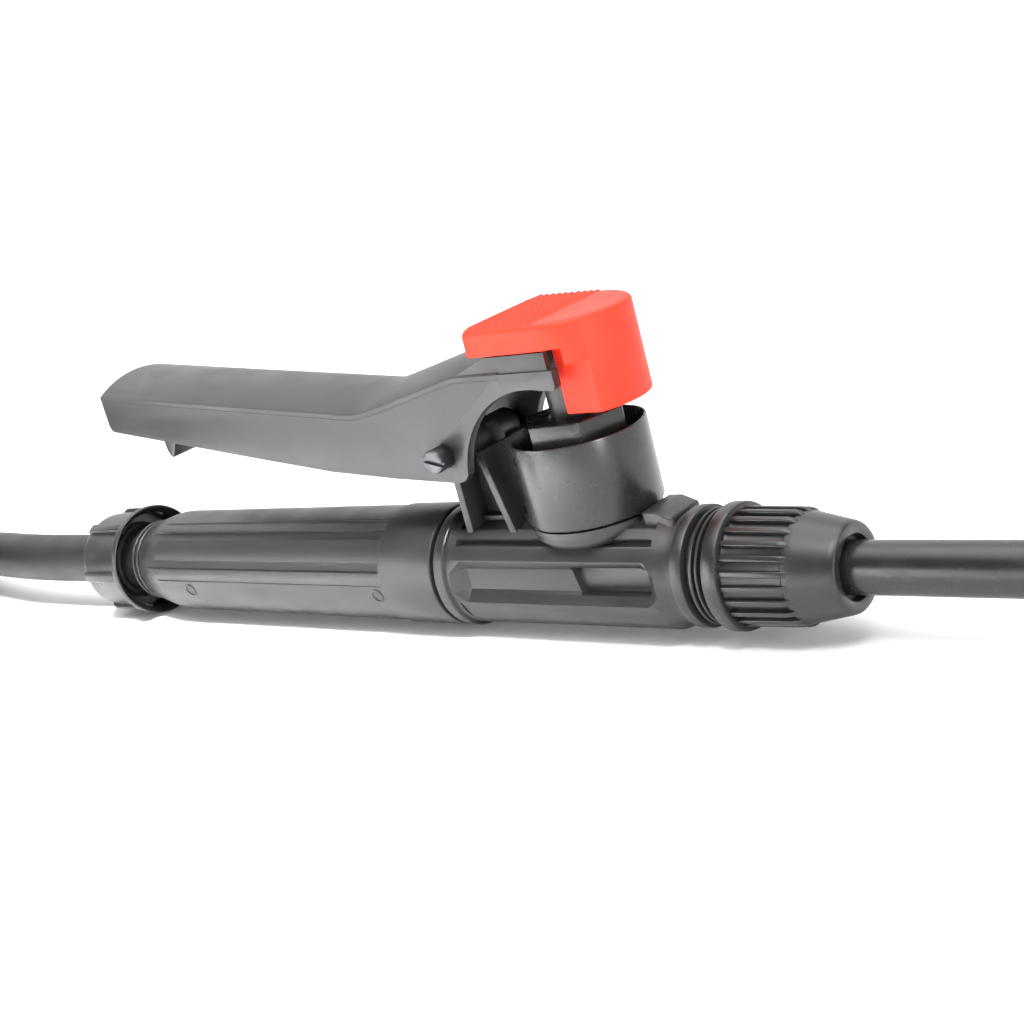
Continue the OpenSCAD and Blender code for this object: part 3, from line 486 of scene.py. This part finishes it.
for i in range(int(STEPS * TURNS) + 1):
    angle = math.radians(90) + math.tau * i / STEPS
    turns.append(COIL + Vector((COIL_R * math.cos(angle), COIL_R * math.sin(angle), PITCH * i / STEPS)))
route = [HOSE_END + Vector(p) * MM for p in lead] + turns + [HOSE_END + Vector(p) * MM for p in tail]
hose_data = bpy.data.curves.new("hose", "CURVE")
hose_data.dimensions, hose_data.bevel_depth, hose_data.bevel_resolution = "3D", HOSE_R * MM, 12
hose_data.resolution_u = hose_data.render_resolution_u = 6
spline = hose_data.splines.new("BEZIER")
spline.bezier_points.add(len(route) - 1)
for point, place in zip(spline.bezier_points, route):
    point.co = place
    point.handle_left_type = point.handle_right_type = "AUTO"
hose = bpy.data.objects.new("hose_line", hose_data)
bpy.context.scene.collection.objects.link(hose)
bpy.context.view_layer.update()
finish_piece(hose, "handle", "hose_rubber", HOSE_BLACK, "hose", "hose_coil")

# %% [markdown]
# ## The grip
# The grip is a slightly tapered round bar. Its plain collar stands a little prouder than the
# grooved part, and a cone leads down to the threaded tail inside the hose nut's mouth. It is spun.
# Then the flutes are cut, each a shallow land beside a deeper groove. They run out on the cone, as
# the mould's sliding cores do, and two round ejector marks are added low on the near side.

# %% Grip
tail_profile = [(-159.5, 4.5), (-159.5, 8.6), (-159.2, 8.9)]
for i in range(3):
    x = -158.0 + i * 2.4
    tail_profile += [(x - 0.8, 8.9), (x - 0.25, 9.55), (x + 0.25, 9.55), (x + 0.8, 8.9)]
for x in (-146.0, -144.3):
    tail_profile += [(x - 0.45, 8.6), (x - 0.4, 9.8), (x - 0.2, 10.0), (x + 0.3, 10.05), (x + 0.55, 9.9), (x + 0.6, 9.3)]
grip_outline = tail_profile + [
    (-143.2, 9.3), (-143.1, 9.9), (-142.9, 10.15), (-137.0, 11.62), (-133.8, 12.28), (-132.6, 12.42), (-95, 12.6),
    (-54.1, 12.84), (-54.0, 12.9), (-53.95, 13.1), (-53.8, 13.2), (-39.0, 13.2), (-38.6, 13.1), (-38.5, 12.9),
    (-38.5, 4.5), (-159.5, 4.5)]
grip = turned("grip_shell", grip_outline, steps=128)
flutes = []
for corners in ([(-3.0, 15), (-2.3, 12.12), (4.5, 12.2), (11.4, 12.12), (12.4, 11.15), (21.2, 11.15), (22.6, 15)],
                [(44.4, 15), (45.8, 11.15), (55.4, 11.15), (56.8, 12.12), (62.5, 12.2), (68.4, 12.12), (69.2, 15)]):
    for far_side in (False, True):
        outline = polar(*[((180 - a) if far_side else a, r) for a, r in corners])
        flutes.append(carried("flute", outline, -150, [((95.7, 0, 0), 1.04)]))
grip = cut(grip, *flutes)
soften(grip, 0.2, 2, 24, 30)
marks = []
for x, degrees, radius in ((-122, -14, 12.5), (-56.5, -12.6, 12.85)):
    mark = turned("ejector_mark", [(radius - 0.6, 1.25), (radius + 0.06, 1.25), (radius + 0.14, 1.35),
                                   (radius + 0.14, 1.55), (radius + 0.04, 1.7), (radius - 0.6, 1.7), (radius - 0.6, 1.25)],
                  at(x, 0, 0), "Z", 32)
    mark.data.transform(Matrix.Translation(at(x, 0, 0)) @ Matrix.Rotation(math.radians(90 - degrees), 4, "X")
                        @ Matrix.Translation(-at(x, 0, 0)))
    marks.append(soften(mark, 0))
grip = join("grip_shell", grip, *marks)
finish_piece(grip, "handle", "black_plastic", GRIP_BLACK, "grip")

# %% [markdown]
# ## The bonnet nut
# The nut that closes the valve is a deep round cap. Its top is sunk inside a thin rim, and a
# hexagon for the spanner stands in the middle, round the hole of the stem.

# %% Bonnet nut
bonnet_outline = [(12.3, 11.1), (12.3, 13.3), (12.45, 13.6), (12.8, 13.75), (28.8, 13.8), (29.1, 13.72), (29.2, 13.55),
                  (29.15, 13.38), (28.9, 13.28), (24.8, 12.95), (24.35, 12.75), (24.2, 12.3), (24.2, 4.6), (20.2, 4.6),
                  (20.2, 11.1), (12.3, 11.1)]
bonnet = turned("bonnet_cap", bonnet_outline, axis="Z", steps=128)
soften(bonnet, 0, smooth=30)
corners = [(10.8 * math.cos(math.radians(a - 50)), 10.8 * math.sin(math.radians(a - 50))) for a in range(0, 360, 60)]
hexagon = slab("bonnet_hexagon", corners, 24.0, 32.6, "XY")
hexagon = cut(hexagon, turned("stem_hole", [(22, 0), (22, 4.6), (34, 4.6), (34, 0)], axis="Z", steps=48))
soften(hexagon, 0.35, 3)
bonnet = join("bonnet_cap", bonnet, hexagon)
finish_piece(bonnet, "handle", "black_plastic", GLOSS_BLACK, "bonnet_nut")

# %% [markdown]
# ## The thumb head
# The red head is a thick button on top of the valve stem: straight and square at the back, round
# at the front. Under it the front is stepped down beside the stem, and ten small ridges across the
# top stop the thumb from slipping. It is cut from its plan, then rounded all over.

# %% Thumb head
HEAD_HW, HEAD_ROUND, HEAD_BACK = 12.5, 4.7, 13.4
plan = (arc(2.4 - HEAD_BACK, 2.4 - HEAD_HW, 2.4, 180, 270, 6) + [(-2, -HEAD_HW)]
        + arc(HEAD_ROUND, 0, HEAD_HW, -90, 90, 24) + [(-2, HEAD_HW)]
        + arc(2.4 - HEAD_BACK, HEAD_HW - 2.4, 2.4, 90, 180, 6))
head = draw("thumb_button", [at(x, y, 30) for x, y in plan])
bpy.ops.mesh.edge_face_add()
bpy.ops.mesh.extrude_region_move(TRANSFORM_OT_translate={"value": Vector((0, 0, 21.95)) * MM})
TOP_ROUND, TOP_FALL = 1.6, 0.03
rise, inset = 0, 0
for step in range(1, 7):
    turn = math.radians(15 * step)
    next_rise, next_inset = TOP_ROUND * math.sin(turn), TOP_ROUND * (1 - math.cos(turn))
    bpy.ops.mesh.extrude_region_move(TRANSFORM_OT_translate={"value": Vector((0, 0, next_rise - rise)) * MM})
    shrink = [(half - next_inset) / (half - inset) for half in (15.3, HEAD_HW)]
    bpy.ops.transform.resize(value=(shrink[0], shrink[1], 1), center_override=at(1.9, 0, 51.95 + next_rise))
    bpy.ops.transform.rotate(value=-TOP_FALL / 6, orient_axis="Y", center_override=at(-6, 0, 51.95 + next_rise))
    rise, inset = next_rise, next_inset
tidy()


def head_top(x):
    """Height of the head's top, which falls a little towards the round front."""
    return 51.95 + TOP_ROUND - TOP_FALL * (x + 6)


below = slab("below", [(-16, 28), (24, 28), (24, 34.5), (5.6, 34.5), (5.6, 48.1), (-16, 48.1)], -14, 14)
sides = []
for low, high in ((-14, -8.5), (8.5, 14)):
    sides.append(slab("beside", [(3, 33), (24, 33), (24, 44.8), (10, 44.8), (10, 48.1), (3, 48.1)], low, high))
head = cut(head, below, *sides)
soften(head, 0.4, 3, 45, 38)
ridges = []
for i in range(10):
    x = -10.4 + 1.6 * i
    z = head_top(x)
    ridges.append(slab("ridge", [(x - 0.62, z - 0.5), (x - 0.36, z + 0.02), (x - 0.2, z + 0.2), (x, z + 0.27),
                                 (x + 0.2, z + 0.2), (x + 0.36, z + 0.02), (x + 0.62, z - 0.5)],
                       -11.7, 11.7))
ridges = [soften(ridge, 0.12, 2) for ridge in ridges]
head = join("thumb_button", head, *ridges)
finish_piece(head, "stem", "red_plastic", RED, "thumb_head")

# %% [markdown]
# ## The valve stem
# A plain rod carries the head and goes down through the bonnet's hexagon to the valve.

# %% Stem
stem = turned("stem_rod", [(2.5, 0), (2.5, 6.1), (5.0, 6.2), (5.0, 2.6), (13.2, 2.6), (14.2, 4.4), (14.5, 4.5),
                           (50.0, 4.5), (50.0, 0)], axis="Z", steps=64)
soften(stem, 0, smooth=30)
finish_piece(stem, "stem", "black_plastic", BLACK, "valve_stem")

# %% [markdown]
# ## The squeeze lever
# The lever is a channel: a top plate for the palm with a cheek down each side, bent so that its
# nose runs level under the thumb head. The cheeks arch over the bonnet nut and end in two tips.
# The top is crowned across its width, so a bowed section is carried along the bent edge line first.
# Only what it shares with the side outline is kept. The flat nose is added to it, and then the
# hollow and the arch are cut out.

# %% Lever
LEVER_HW, CROWN = 12.5, 3.3
CROWN_R = (LEVER_HW ** 2 + CROWN ** 2) / (2 * CROWN)
half = math.degrees(math.asin((LEVER_HW + 0.3) / CROWN_R))
edge_line = [(-133.5, 47.45), (-98.5, 43.6), (-57, 39.15), (-51.5, 38.55), (-48.4, 38.35), (-45.6, 38.6), (-42, 39.25),
             (-33, 41.15), (-25, 42.9), (-17.9, 44.4), (-6, 44.4)]
x0, z0 = edge_line[0]
section = [(-LEVER_HW - 0.3, z0 - 30)] + arc(0, z0 + CROWN - CROWN_R, CROWN_R, 90 + half, 90 - half, 20)
section += [(LEVER_HW + 0.3, z0 - 30)]
crowned = carried("crowned_top", section, x0,
                  [((b[0] - a[0], 0, b[1] - a[1]), 1) for a, b in zip(edge_line, edge_line[1:])])
lever = slab("lever_channel", [(-131.7, 53), (-132, 49), (-132, 40.2), (-131.7, 39.1), (-131, 38.5), (-130, 38.3),
                               (-84, 30.4), (-59, 26.2), (-40, 24.1), (-23.4, 22.75), (-22, 22.9), (-21, 23.35),
                               (-20.5, 24), (-17.95, 26), (-17.95, 30), (-6, 30), (-6, 53)], -LEVER_HW, LEVER_HW)
lever = combine(lever, [crowned], "INTERSECT")
nose_side = slab("nose_side", [(-6.05, 44.37), (7.6, 44.3), (7.6, 41.0), (7.0, 40.5), (0, 40.5), (0, 30), (-6.05, 30)],
                 -LEVER_HW, LEVER_HW)
nose_top = slab("nose_top", [(-18.3, 42), (-18.3, 44.2), (-9.5, 47.5), (-8.5, 47.7), (6.1, 47.7), (6.1, 42)],
                -LEVER_HW + 0.7, LEVER_HW - 0.7)
lever = combine(lever, [nose_side, nose_top], "UNION")
hollow = slab("hollow", [(-130, 46.1), (-98.5, 42.4), (-57, 38.0), (-50, 37.2), (-46, 37.3), (-33, 40.0), (-18, 43.2),
                         (-9, 43.6), (-9, 50), (12, 50), (12, 10), (-130, 10)], -10.5, 10.5)
arch = slab("arch", arc(0, 20.5, 20.5, 0, 354, 59), -14, 14)
lever = cut(lever, hollow, arch)
hole = turned("pivot_hole", [(-16, 0), (-16, 2.08), (16, 2.08), (16, 0)], at(-25, 0, 28.6), "Z", 32)
hole.data.transform(Matrix.Translation(at(-25, 0, 28.6)) @ Matrix.Rotation(math.radians(90), 4, "X")
                    @ Matrix.Translation(-at(-25, 0, 28.6)))
lever = cut(lever, hole)
soften(lever, 0.5, 3, 30, 38)
beads = []
for side in (-1, 1):
    bead = [(side * 12.4, z0 - 0.85), (side * 12.58, z0 - 0.95), (side * 12.58, z0 - 1.15), (side * 12.4, z0 - 1.25)]
    path = [(-131.6, 47.25)] + edge_line[1:]
    bead = [(y, z - z0 + path[0][1]) for y, z in bead]
    beads.append(soften(carried("parting_bead", bead, path[0][0], [((b[0] - a[0], 0, b[1] - a[1]), 1)
                                                                  for a, b in zip(path, path[1:])]), 0))
tooth = slab("stop_tooth", [(-122.5, 46.2), (-121.6, 31.0), (-120.9, 29.7), (-120.2, 29.2), (-119.5, 29.6),
                            (-114.6, 38.4), (-114.0, 45.4)], -6.2, 6.2)
soften(tooth, 0.3, 2)
lever = join("lever_channel", lever, tooth, *beads)
finish_piece(lever, "lever", "black_plastic", BLACK, "lever")

# %% [markdown]
# ## The pivot screw
# The lever turns on a slotted screw. Only its round head and the nut on the far side show.

# %% Pivot screw
PIVOT = at(-25, 0, 28.6)


def across(piece):
    """Turns a piece that was spun upright at the pivot, so that its top points to the near side."""
    piece.data.transform(Matrix.Translation(PIVOT) @ Matrix.Rotation(math.radians(90), 4, "X")
                         @ Matrix.Translation(-PIVOT))
    return piece


screw = across(turned("pivot_screw_head", [(12.6, 0), (12.6, 2.3), (12.8, 2.5), (16.1, 2.5), (16.4, 2.35), (16.5, 2.1),
                                           (16.5, 0)], PIVOT, "Z", 48))
shank = across(turned("shank", [(-16.4, 0), (-16.4, 1.7), (-16.1, 2.0), (13.0, 2.0), (13.0, 0)], PIVOT, "Z", 32))
slot = slab("slot", [(-29, 28.2), (-21, 28.2), (-21, 29.0), (-29, 29.0)], -18, -15.7)
slot.data.transform(Matrix.Translation(PIVOT) @ Matrix.Rotation(math.radians(14), 4, "Y") @ Matrix.Translation(-PIVOT))
screw = cut(screw, slot)
soften(screw, 0.12, 2)
soften(shank, 0)
screw = join("pivot_screw_head", screw, shank)
finish_piece(screw, "handle", "dark_steel", DARK_STEEL, "pivot_screw")

# %% [markdown]
# ## The valve body
# The body between grip and lance is a round bar with flat-faced ribs. Each side has a long pocket
# with a name panel, left bare here, and a window onto the round core tube. A web with two ribs
# rises from its back to carry the lever's pivot, and its front end is threaded for the lance nut.

# %% Barrel of the valve body
barrel = turned("valve_barrel", [(-51.5, 4.5), (-51.5, 9.0), (-51.2, 9.2), (-37.5, 9.2), (-37.5, 12.8), (-37.2, 13.1),
                                 (-36.9, 13.2), (-34.9, 13.2), (-34.6, 13.05), (-34.45, 12.4), (17.4, 12.4),
                                 (20.0, 11.2), (21.9, 11.0), (22.5, 11.0), (22.5, 4.5), (-51.5, 4.5)], steps=128)
tools = []
for side in (-1, 1):
    pocket = carried("pocket", [(-17.0, 7.0), (-15.2, 6.3), (-12.6, 2.8), (-12.6, -1.7), (-15.2, -4.4), (-17.0, -6.4)],
                     -34.0, [((3.4, 3.0, 0), 1), ((46.6, 0, 0), 1), ((3.4, -3.0, 0), 1)])
    window = slab("window", [(-2.5, 3.6), (15.2, 3.6), (16.0, 2.8), (16.0, -1.6), (15.4, -2.3), (-1.2, -2.3)],
                  -12.0, -5.0)
    core = turned("core", [(-40, 0), (-40, 8.0), (30, 8.0), (30, 0)], steps=64)
    window = cut(window, core)
    groove = carried("rib_groove", polar((38.6, 14), (39.8, 10.8), (45.2, 10.8), (46.6, 14)), -32, [((50, 0, 0), 1)])
    upper = carried("upper_step", polar((57, 14), (57.6, 11.75), (66, 11.5), (75, 11.4), (76, 14)), -32, [((50, 0, 0), 1)])
    facet = carried("rib_facet", [(-11.85, -3.7), (-8.95, -8.6), (-12, -13), (-17, -5)], -33, [((55, 0, 0), 1)])
    for tool in (pocket, window, groove, upper, facet):
        if side > 0:
            tool.data.transform(Matrix.Scale(-1, 4, (0, 1, 0)))
            tool.data.flip_normals()
        tools.append(tool)
barrel = cut(barrel, *tools)
soften(barrel, 0.28, 2, 26, 32)

# %% Neck, block and bracket
neck = turned("neck_base", [(4.6, 0), (7.3, 9.4), (7.75, 10.6), (8.2, 11.7), (9.0, 12.6), (10.0, 13.05), (10.8, 13.1),
                            (11.8, 13.1), (11.8, 11.0), (20.2, 11.0), (20.2, 0)], axis="Z", steps=96)
soften(neck, 0, smooth=40)
block = slab("top_block", [(14.2, 4), (14.2, 13.0), (17.5, 13.0), (21.0, 11.6), (21.5, 4)], -5, 5)
soften(block, 0.5, 3)
web = slab("bracket_web", [(-29.5, 4), (-29.5, 28.6), (-28.0, 31.6), (-25, 32.8), (-22.0, 31.6), (-20.5, 28.6),
                           (-17.8, 4)], -1.5, 1.5)
left_rib = slab("left_rib", [(-29.8, 7), (-29.8, 26.6), (-28.0, 26.6), (-28.0, 7)], -7.4, 7.4)
right_rib = slab("right_rib", [(-17.4, 7), (-22.0, 27.6), (-20.2, 27.6), (-15.6, 7)], -7.4, 7.4)
boss = across(turned("boss", [(-8.2, 0), (-8.2, 3.4), (8.2, 3.4), (8.2, 0)], PIVOT, "Z", 48))
for piece in (web, left_rib, right_rib, boss):
    soften(piece, 0.3, 2)
threads = [(22.3, 4.9), (22.3, 11.4), (22.5, 11.8), (22.9, 11.9), (24.5, 11.9), (24.8, 11.75), (24.9, 11.5),
           (24.95, 10.0)]
for x in (26.45, 27.85):
    threads += [(x - 0.36, 10.0), (x - 0.32, 11.1), (x - 0.15, 11.3), (x + 0.15, 11.3), (x + 0.32, 11.1), (x + 0.36, 10.0)]
threads += [(28.9, 10.0), (29.0, 8.55)]
for i in range(6):
    x = 30.4 + i * 2.4
    threads += [(x - 0.8, 8.55), (x - 0.25, 9.15), (x + 0.25, 9.15), (x + 0.8, 8.55)]
threads += [(45.2, 8.5), (45.5, 8.2), (45.5, 5.1), (22.4, 4.9)]
spigot = soften(turned("threaded_spigot", threads, steps=96), 0, smooth=30)
valve_body = join("valve_body_shell", barrel, neck, block, web, left_rib, right_rib, boss, spigot)
finish_piece(valve_body, "handle", "black_plastic", BLACK, "valve_body")

# %% [markdown]
# ## The lance nut
# The nut that clamps the lance has a thin flange, a body with two dozen finger ribs, and a smooth
# cone with a rounded nose. One rib is modelled and repeated round the turned body.

# %% Lance nut
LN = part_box("lance_nut")[0][0]
LN_X0 = (LN - STEM_X) / MM
LANCE_NUT = at(LN_X0, 0, 0)
nut_body = turned("lance_gland", [(0, 9.3), (0, 11.6), (0.25, 12.1), (0.7, 12.35), (2.7, 12.35), (3.2, 12.2), (3.45, 11.8),
                                  (3.5, 10.6), (4.2, 10.35), (15.8, 10.1), (16.2, 10.4), (17.0, 10.4), (18.2, 10.15),
                                  (24.6, 8.75), (25.5, 8.5), (25.9, 8.15), (26.0, 7.7), (26.0, 6.6), (25.8, 6.2),
                                  (25.3, 6.0), (17.0, 6.0), (17.0, 9.3), (0, 9.3)], LANCE_NUT, steps=128)
soften(nut_body, 0, smooth=34)
gland_rib = slab("gland_rib", [(LN_X0 + 3.2, 9.8), (LN_X0 + 3.2, 11.4), (LN_X0 + 15.4, 11.15), (LN_X0 + 16.6, 10.9),
                               (LN_X0 + 17.8, 10.0), (LN_X0 + 17.8, 9.4)], -0.62, 0.62)
soften(gland_rib, 0.3, 3)
around(gland_rib, 24)
lance_nut = join("lance_gland", nut_body, gland_rib)
finish_piece(lance_nut, "lance_nut", "black_plastic", NUT_BLACK, "lance_nut")

# %% [markdown]
# ## The lance and its nozzle
# The lance is a smooth extruded tube. A bent elbow on its end turns the spray up, and a ribbed cap
# holds the swirl plug behind the spray hole.

# %% Lance tube
lance_low, lance_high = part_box("lance_tube")
L0, L1 = (lance_low[0] - STEM_X) / MM, (lance_high[0] - STEM_X) / MM
lance = turned("lance_rod", [(L0, 4.0), (L0, 4.8), (L0 + 0.2, 5.0), (L1 - 0.2, 5.0), (L1, 4.8), (L1, 4.0), (L0, 4.0)],
               steps=64)
soften(lance, 0, smooth=30)
finish_piece(lance, "lance", "lance_tube", TUBE_BLACK, "lance_tube")

# %% [markdown]
# ## The nozzle elbow
# A moulded socket is glued on the lance and turns the spray 35 degrees upwards. Its socket and its
# spigot are turned, and the bend between them is a disc extruded in small steps, each one a little
# further round the middle of the bend.

# %% Nozzle elbow
LEAN, BEND_X, BEND_R = math.radians(35), L1 + 1, 12.0
bend_middle = at(BEND_X, 0, BEND_R)
TIP = at(BEND_X + BEND_R * math.sin(LEAN), 0, BEND_R * (1 - math.cos(LEAN)))


def leaned(piece):
    """Turns a piece that was made level at the tip up into the line of the spray."""
    piece.data.transform(Matrix.Translation(TIP) @ Matrix.Rotation(-LEAN, 4, "Y") @ Matrix.Translation(-TIP))
    return piece


elbow = turned("nozzle_socket", [(L1 - 18, 5.0), (L1 - 18, 7.3), (L1 - 17.8, 7.7), (L1 - 17.4, 8.0), (BEND_X + 0.6, 8.0),
                                 (BEND_X + 1, 7.6), (BEND_X + 1, 0), (L1, 0), (L1, 5.0), (L1 - 18, 5.0)], steps=64)
bend = draw("bend", [at(BEND_X, y, z) for y, z in arc(0, 0, 7.5, 0, 354.375, 63)])
bpy.ops.mesh.edge_face_add()
for step in range(7):
    bpy.ops.mesh.extrude_region_move(TRANSFORM_OT_translate={"value": (0, 0, 0)})
    bpy.ops.transform.rotate(value=LEAN / 7, orient_axis="Y", center_override=bend_middle)
tidy()
spigot = draw("spigot", [TIP + Vector((a, 0, r)) * MM for a, r in
                         ((-1, 0), (-1, 7.6), (-0.6, 8.0), (0.7, 8.0), (1, 7.7), (1, 6.0), (15.6, 6.0), (16, 5.6),
                          (16, 3.7), (11, 3.7), (11, 0))])
bpy.ops.mesh.spin(steps=64, angle=math.tau, center=TIP, axis=(1, 0, 0))
tidy()
elbow = combine(elbow, [bend, leaned(spigot)], "UNION")
soften(elbow, 0, smooth=30)
finish_piece(elbow, "lance", "black_plastic", BLACK, "nozzle_elbow")

# %% [markdown]
# ## The nozzle cap
# The cap screws over the spigot and holds the swirl plug behind the spray hole. Twelve grooves for
# the fingers are cut from one groove repeated round it, and its front is sunk a little round the hole.

# %% Nozzle cap
CAP_LEN = 18.1
cap = draw("nozzle_cap_shell", [TIP + Vector((2 + a, 0, r)) * MM for a, r in
                                ((0, 6.1), (0, 8.4), (0.2, 8.8), (0.6, 9.0), (CAP_LEN - 5, 9.0), (CAP_LEN - 4.6, 8.95),
                                 (CAP_LEN - 0.6, 8.1), (CAP_LEN - 0.2, 7.9), (CAP_LEN, 7.4), (CAP_LEN, 3.4),
                                 (CAP_LEN - 0.3, 3.0), (CAP_LEN - 0.9, 2.4), (CAP_LEN - 1, 0.6), (CAP_LEN - 2.5, 0.6),
                                 (CAP_LEN - 2.5, 6.1), (0, 6.1))])
bpy.ops.mesh.spin(steps=96, angle=math.tau, center=TIP, axis=(1, 0, 0))
tidy()
groove = draw("finger_groove", [TIP + Vector((3.2, y, z)) * MM for y, z in
                                ((-1.1, 9.8), (-1.0, 9.2), (-0.7, 8.7), (-0.3, 8.5), (0.3, 8.5), (0.7, 8.7), (1.0, 9.2),
                                 (1.1, 9.8))])
bpy.ops.mesh.edge_face_add()
bpy.ops.mesh.extrude_region_move(TRANSFORM_OT_translate={"value": Vector((CAP_LEN - 7.5, 0, 0)) * MM})
tidy()
around(groove, 12, TIP)
cap = leaned(cut(cap, groove))
soften(cap, 0.15, 2, 34)
finish_piece(cap, "nozzle_cap", "black_plastic", NUT_BLACK, "nozzle_cap")

# %% [markdown]
# ## Floor and light
# The handle lies on a plain pale floor that curves up into a wall all round, so that no horizon
# shows from any side. Large soft lights give the broad highlights of satin plastic.

# %% Floor
floor_profile = [(0, 0), (3.0, 0)] + [(3.0 + 2.0 * math.sin(a), 2.0 - 2.0 * math.cos(a)) for a in
                                      [math.radians(5 * i) for i in range(1, 14)]]
floor = draw("floor", [Vector((r, 0, z)) for r, z in floor_profile])
bpy.ops.mesh.spin(steps=96, angle=math.tau, center=(0, 0, 0), axis=(0, 0, 1))
tidy()
soften(floor, 0, smooth=60)
paper = Finish("floor_paper", Roughness=0.9, Specular_IOR_Level=0.2)
paper.wire("Base Color", paper.mix(paper.noise(900, 2), (0.90, 0.90, 0.90, 1), (0.93, 0.93, 0.93, 1)))
floor.data.materials.append(paper.material)


# %% Lights
def softbox(name, place, aim, size, power):
    data = bpy.data.lights.new(name, "AREA")
    data.shape, data.size, data.size_y, data.energy = "RECTANGLE", size[0], size[1], power
    lamp = bpy.data.objects.new(name, data)
    lamp.location = place
    lamp.rotation_mode = "QUATERNION"
    lamp.rotation_quaternion = (aim - place).to_track_quat("-Z", "Y")
    bpy.context.scene.collection.objects.link(lamp)
    return lamp


middle = at(-20, 0, 20)
softbox("upper_front_light", middle + Vector((0.35, -0.40, 1.2)), middle, (1.3, 0.6), 10)
softbox("left_light", middle + Vector((-0.82, -0.88, 0.16)), middle, (0.8, 0.34), 7)
softbox("right_light", middle + Vector((1.02, -0.41, 0.25)), middle, (0.18, 0.5), 7)
pool = softbox("floor_light", middle + Vector((0.25, -0.55, 1.15)), at(-150, -240, -18), (0.15, 0.15), 3)
pool.data.spread = math.radians(24)
world = bpy.data.worlds.new("soft_white")
bpy.context.scene.world = world
world.use_nodes = True
sky = world.node_tree
facing = sky.nodes.new("ShaderNodeTexCoord")


def glow(direction, low, high, strength):
    """A soft brightening of the sky around one direction."""
    toward = sky.nodes.new("ShaderNodeVectorMath")
    toward.operation = "DOT_PRODUCT"
    toward.inputs[1].default_value = Vector(direction).normalized()
    sky.links.new(facing.outputs["Generated"], toward.inputs[0])
    bright = sky.nodes.new("ShaderNodeMapRange")
    bright.interpolation_type = "SMOOTHSTEP"
    for name, value in (("From Min", low), ("From Max", high), ("To Min", 0.06), ("To Max", strength)):
        bright.inputs[name].default_value = value
    sky.links.new(toward.outputs["Value"], bright.inputs["Value"])
    return bright.outputs[0]


both = sky.nodes.new("ShaderNodeMath")
both.operation = "ADD"
sky.links.new(glow((0, 0, 1), 0.74, 0.92, 3.6), both.inputs[0])
sky.links.new(glow((-0.62, 0.66, 0.42), 0.45, 0.85, 1.5), both.inputs[1])
sky.links.new(both.outputs[0], sky.nodes["Background"].inputs["Strength"])
sky.nodes["Background"].inputs["Color"].default_value = (1, 1, 1, 1)
bpy.context.scene.view_settings.view_transform = "Standard"
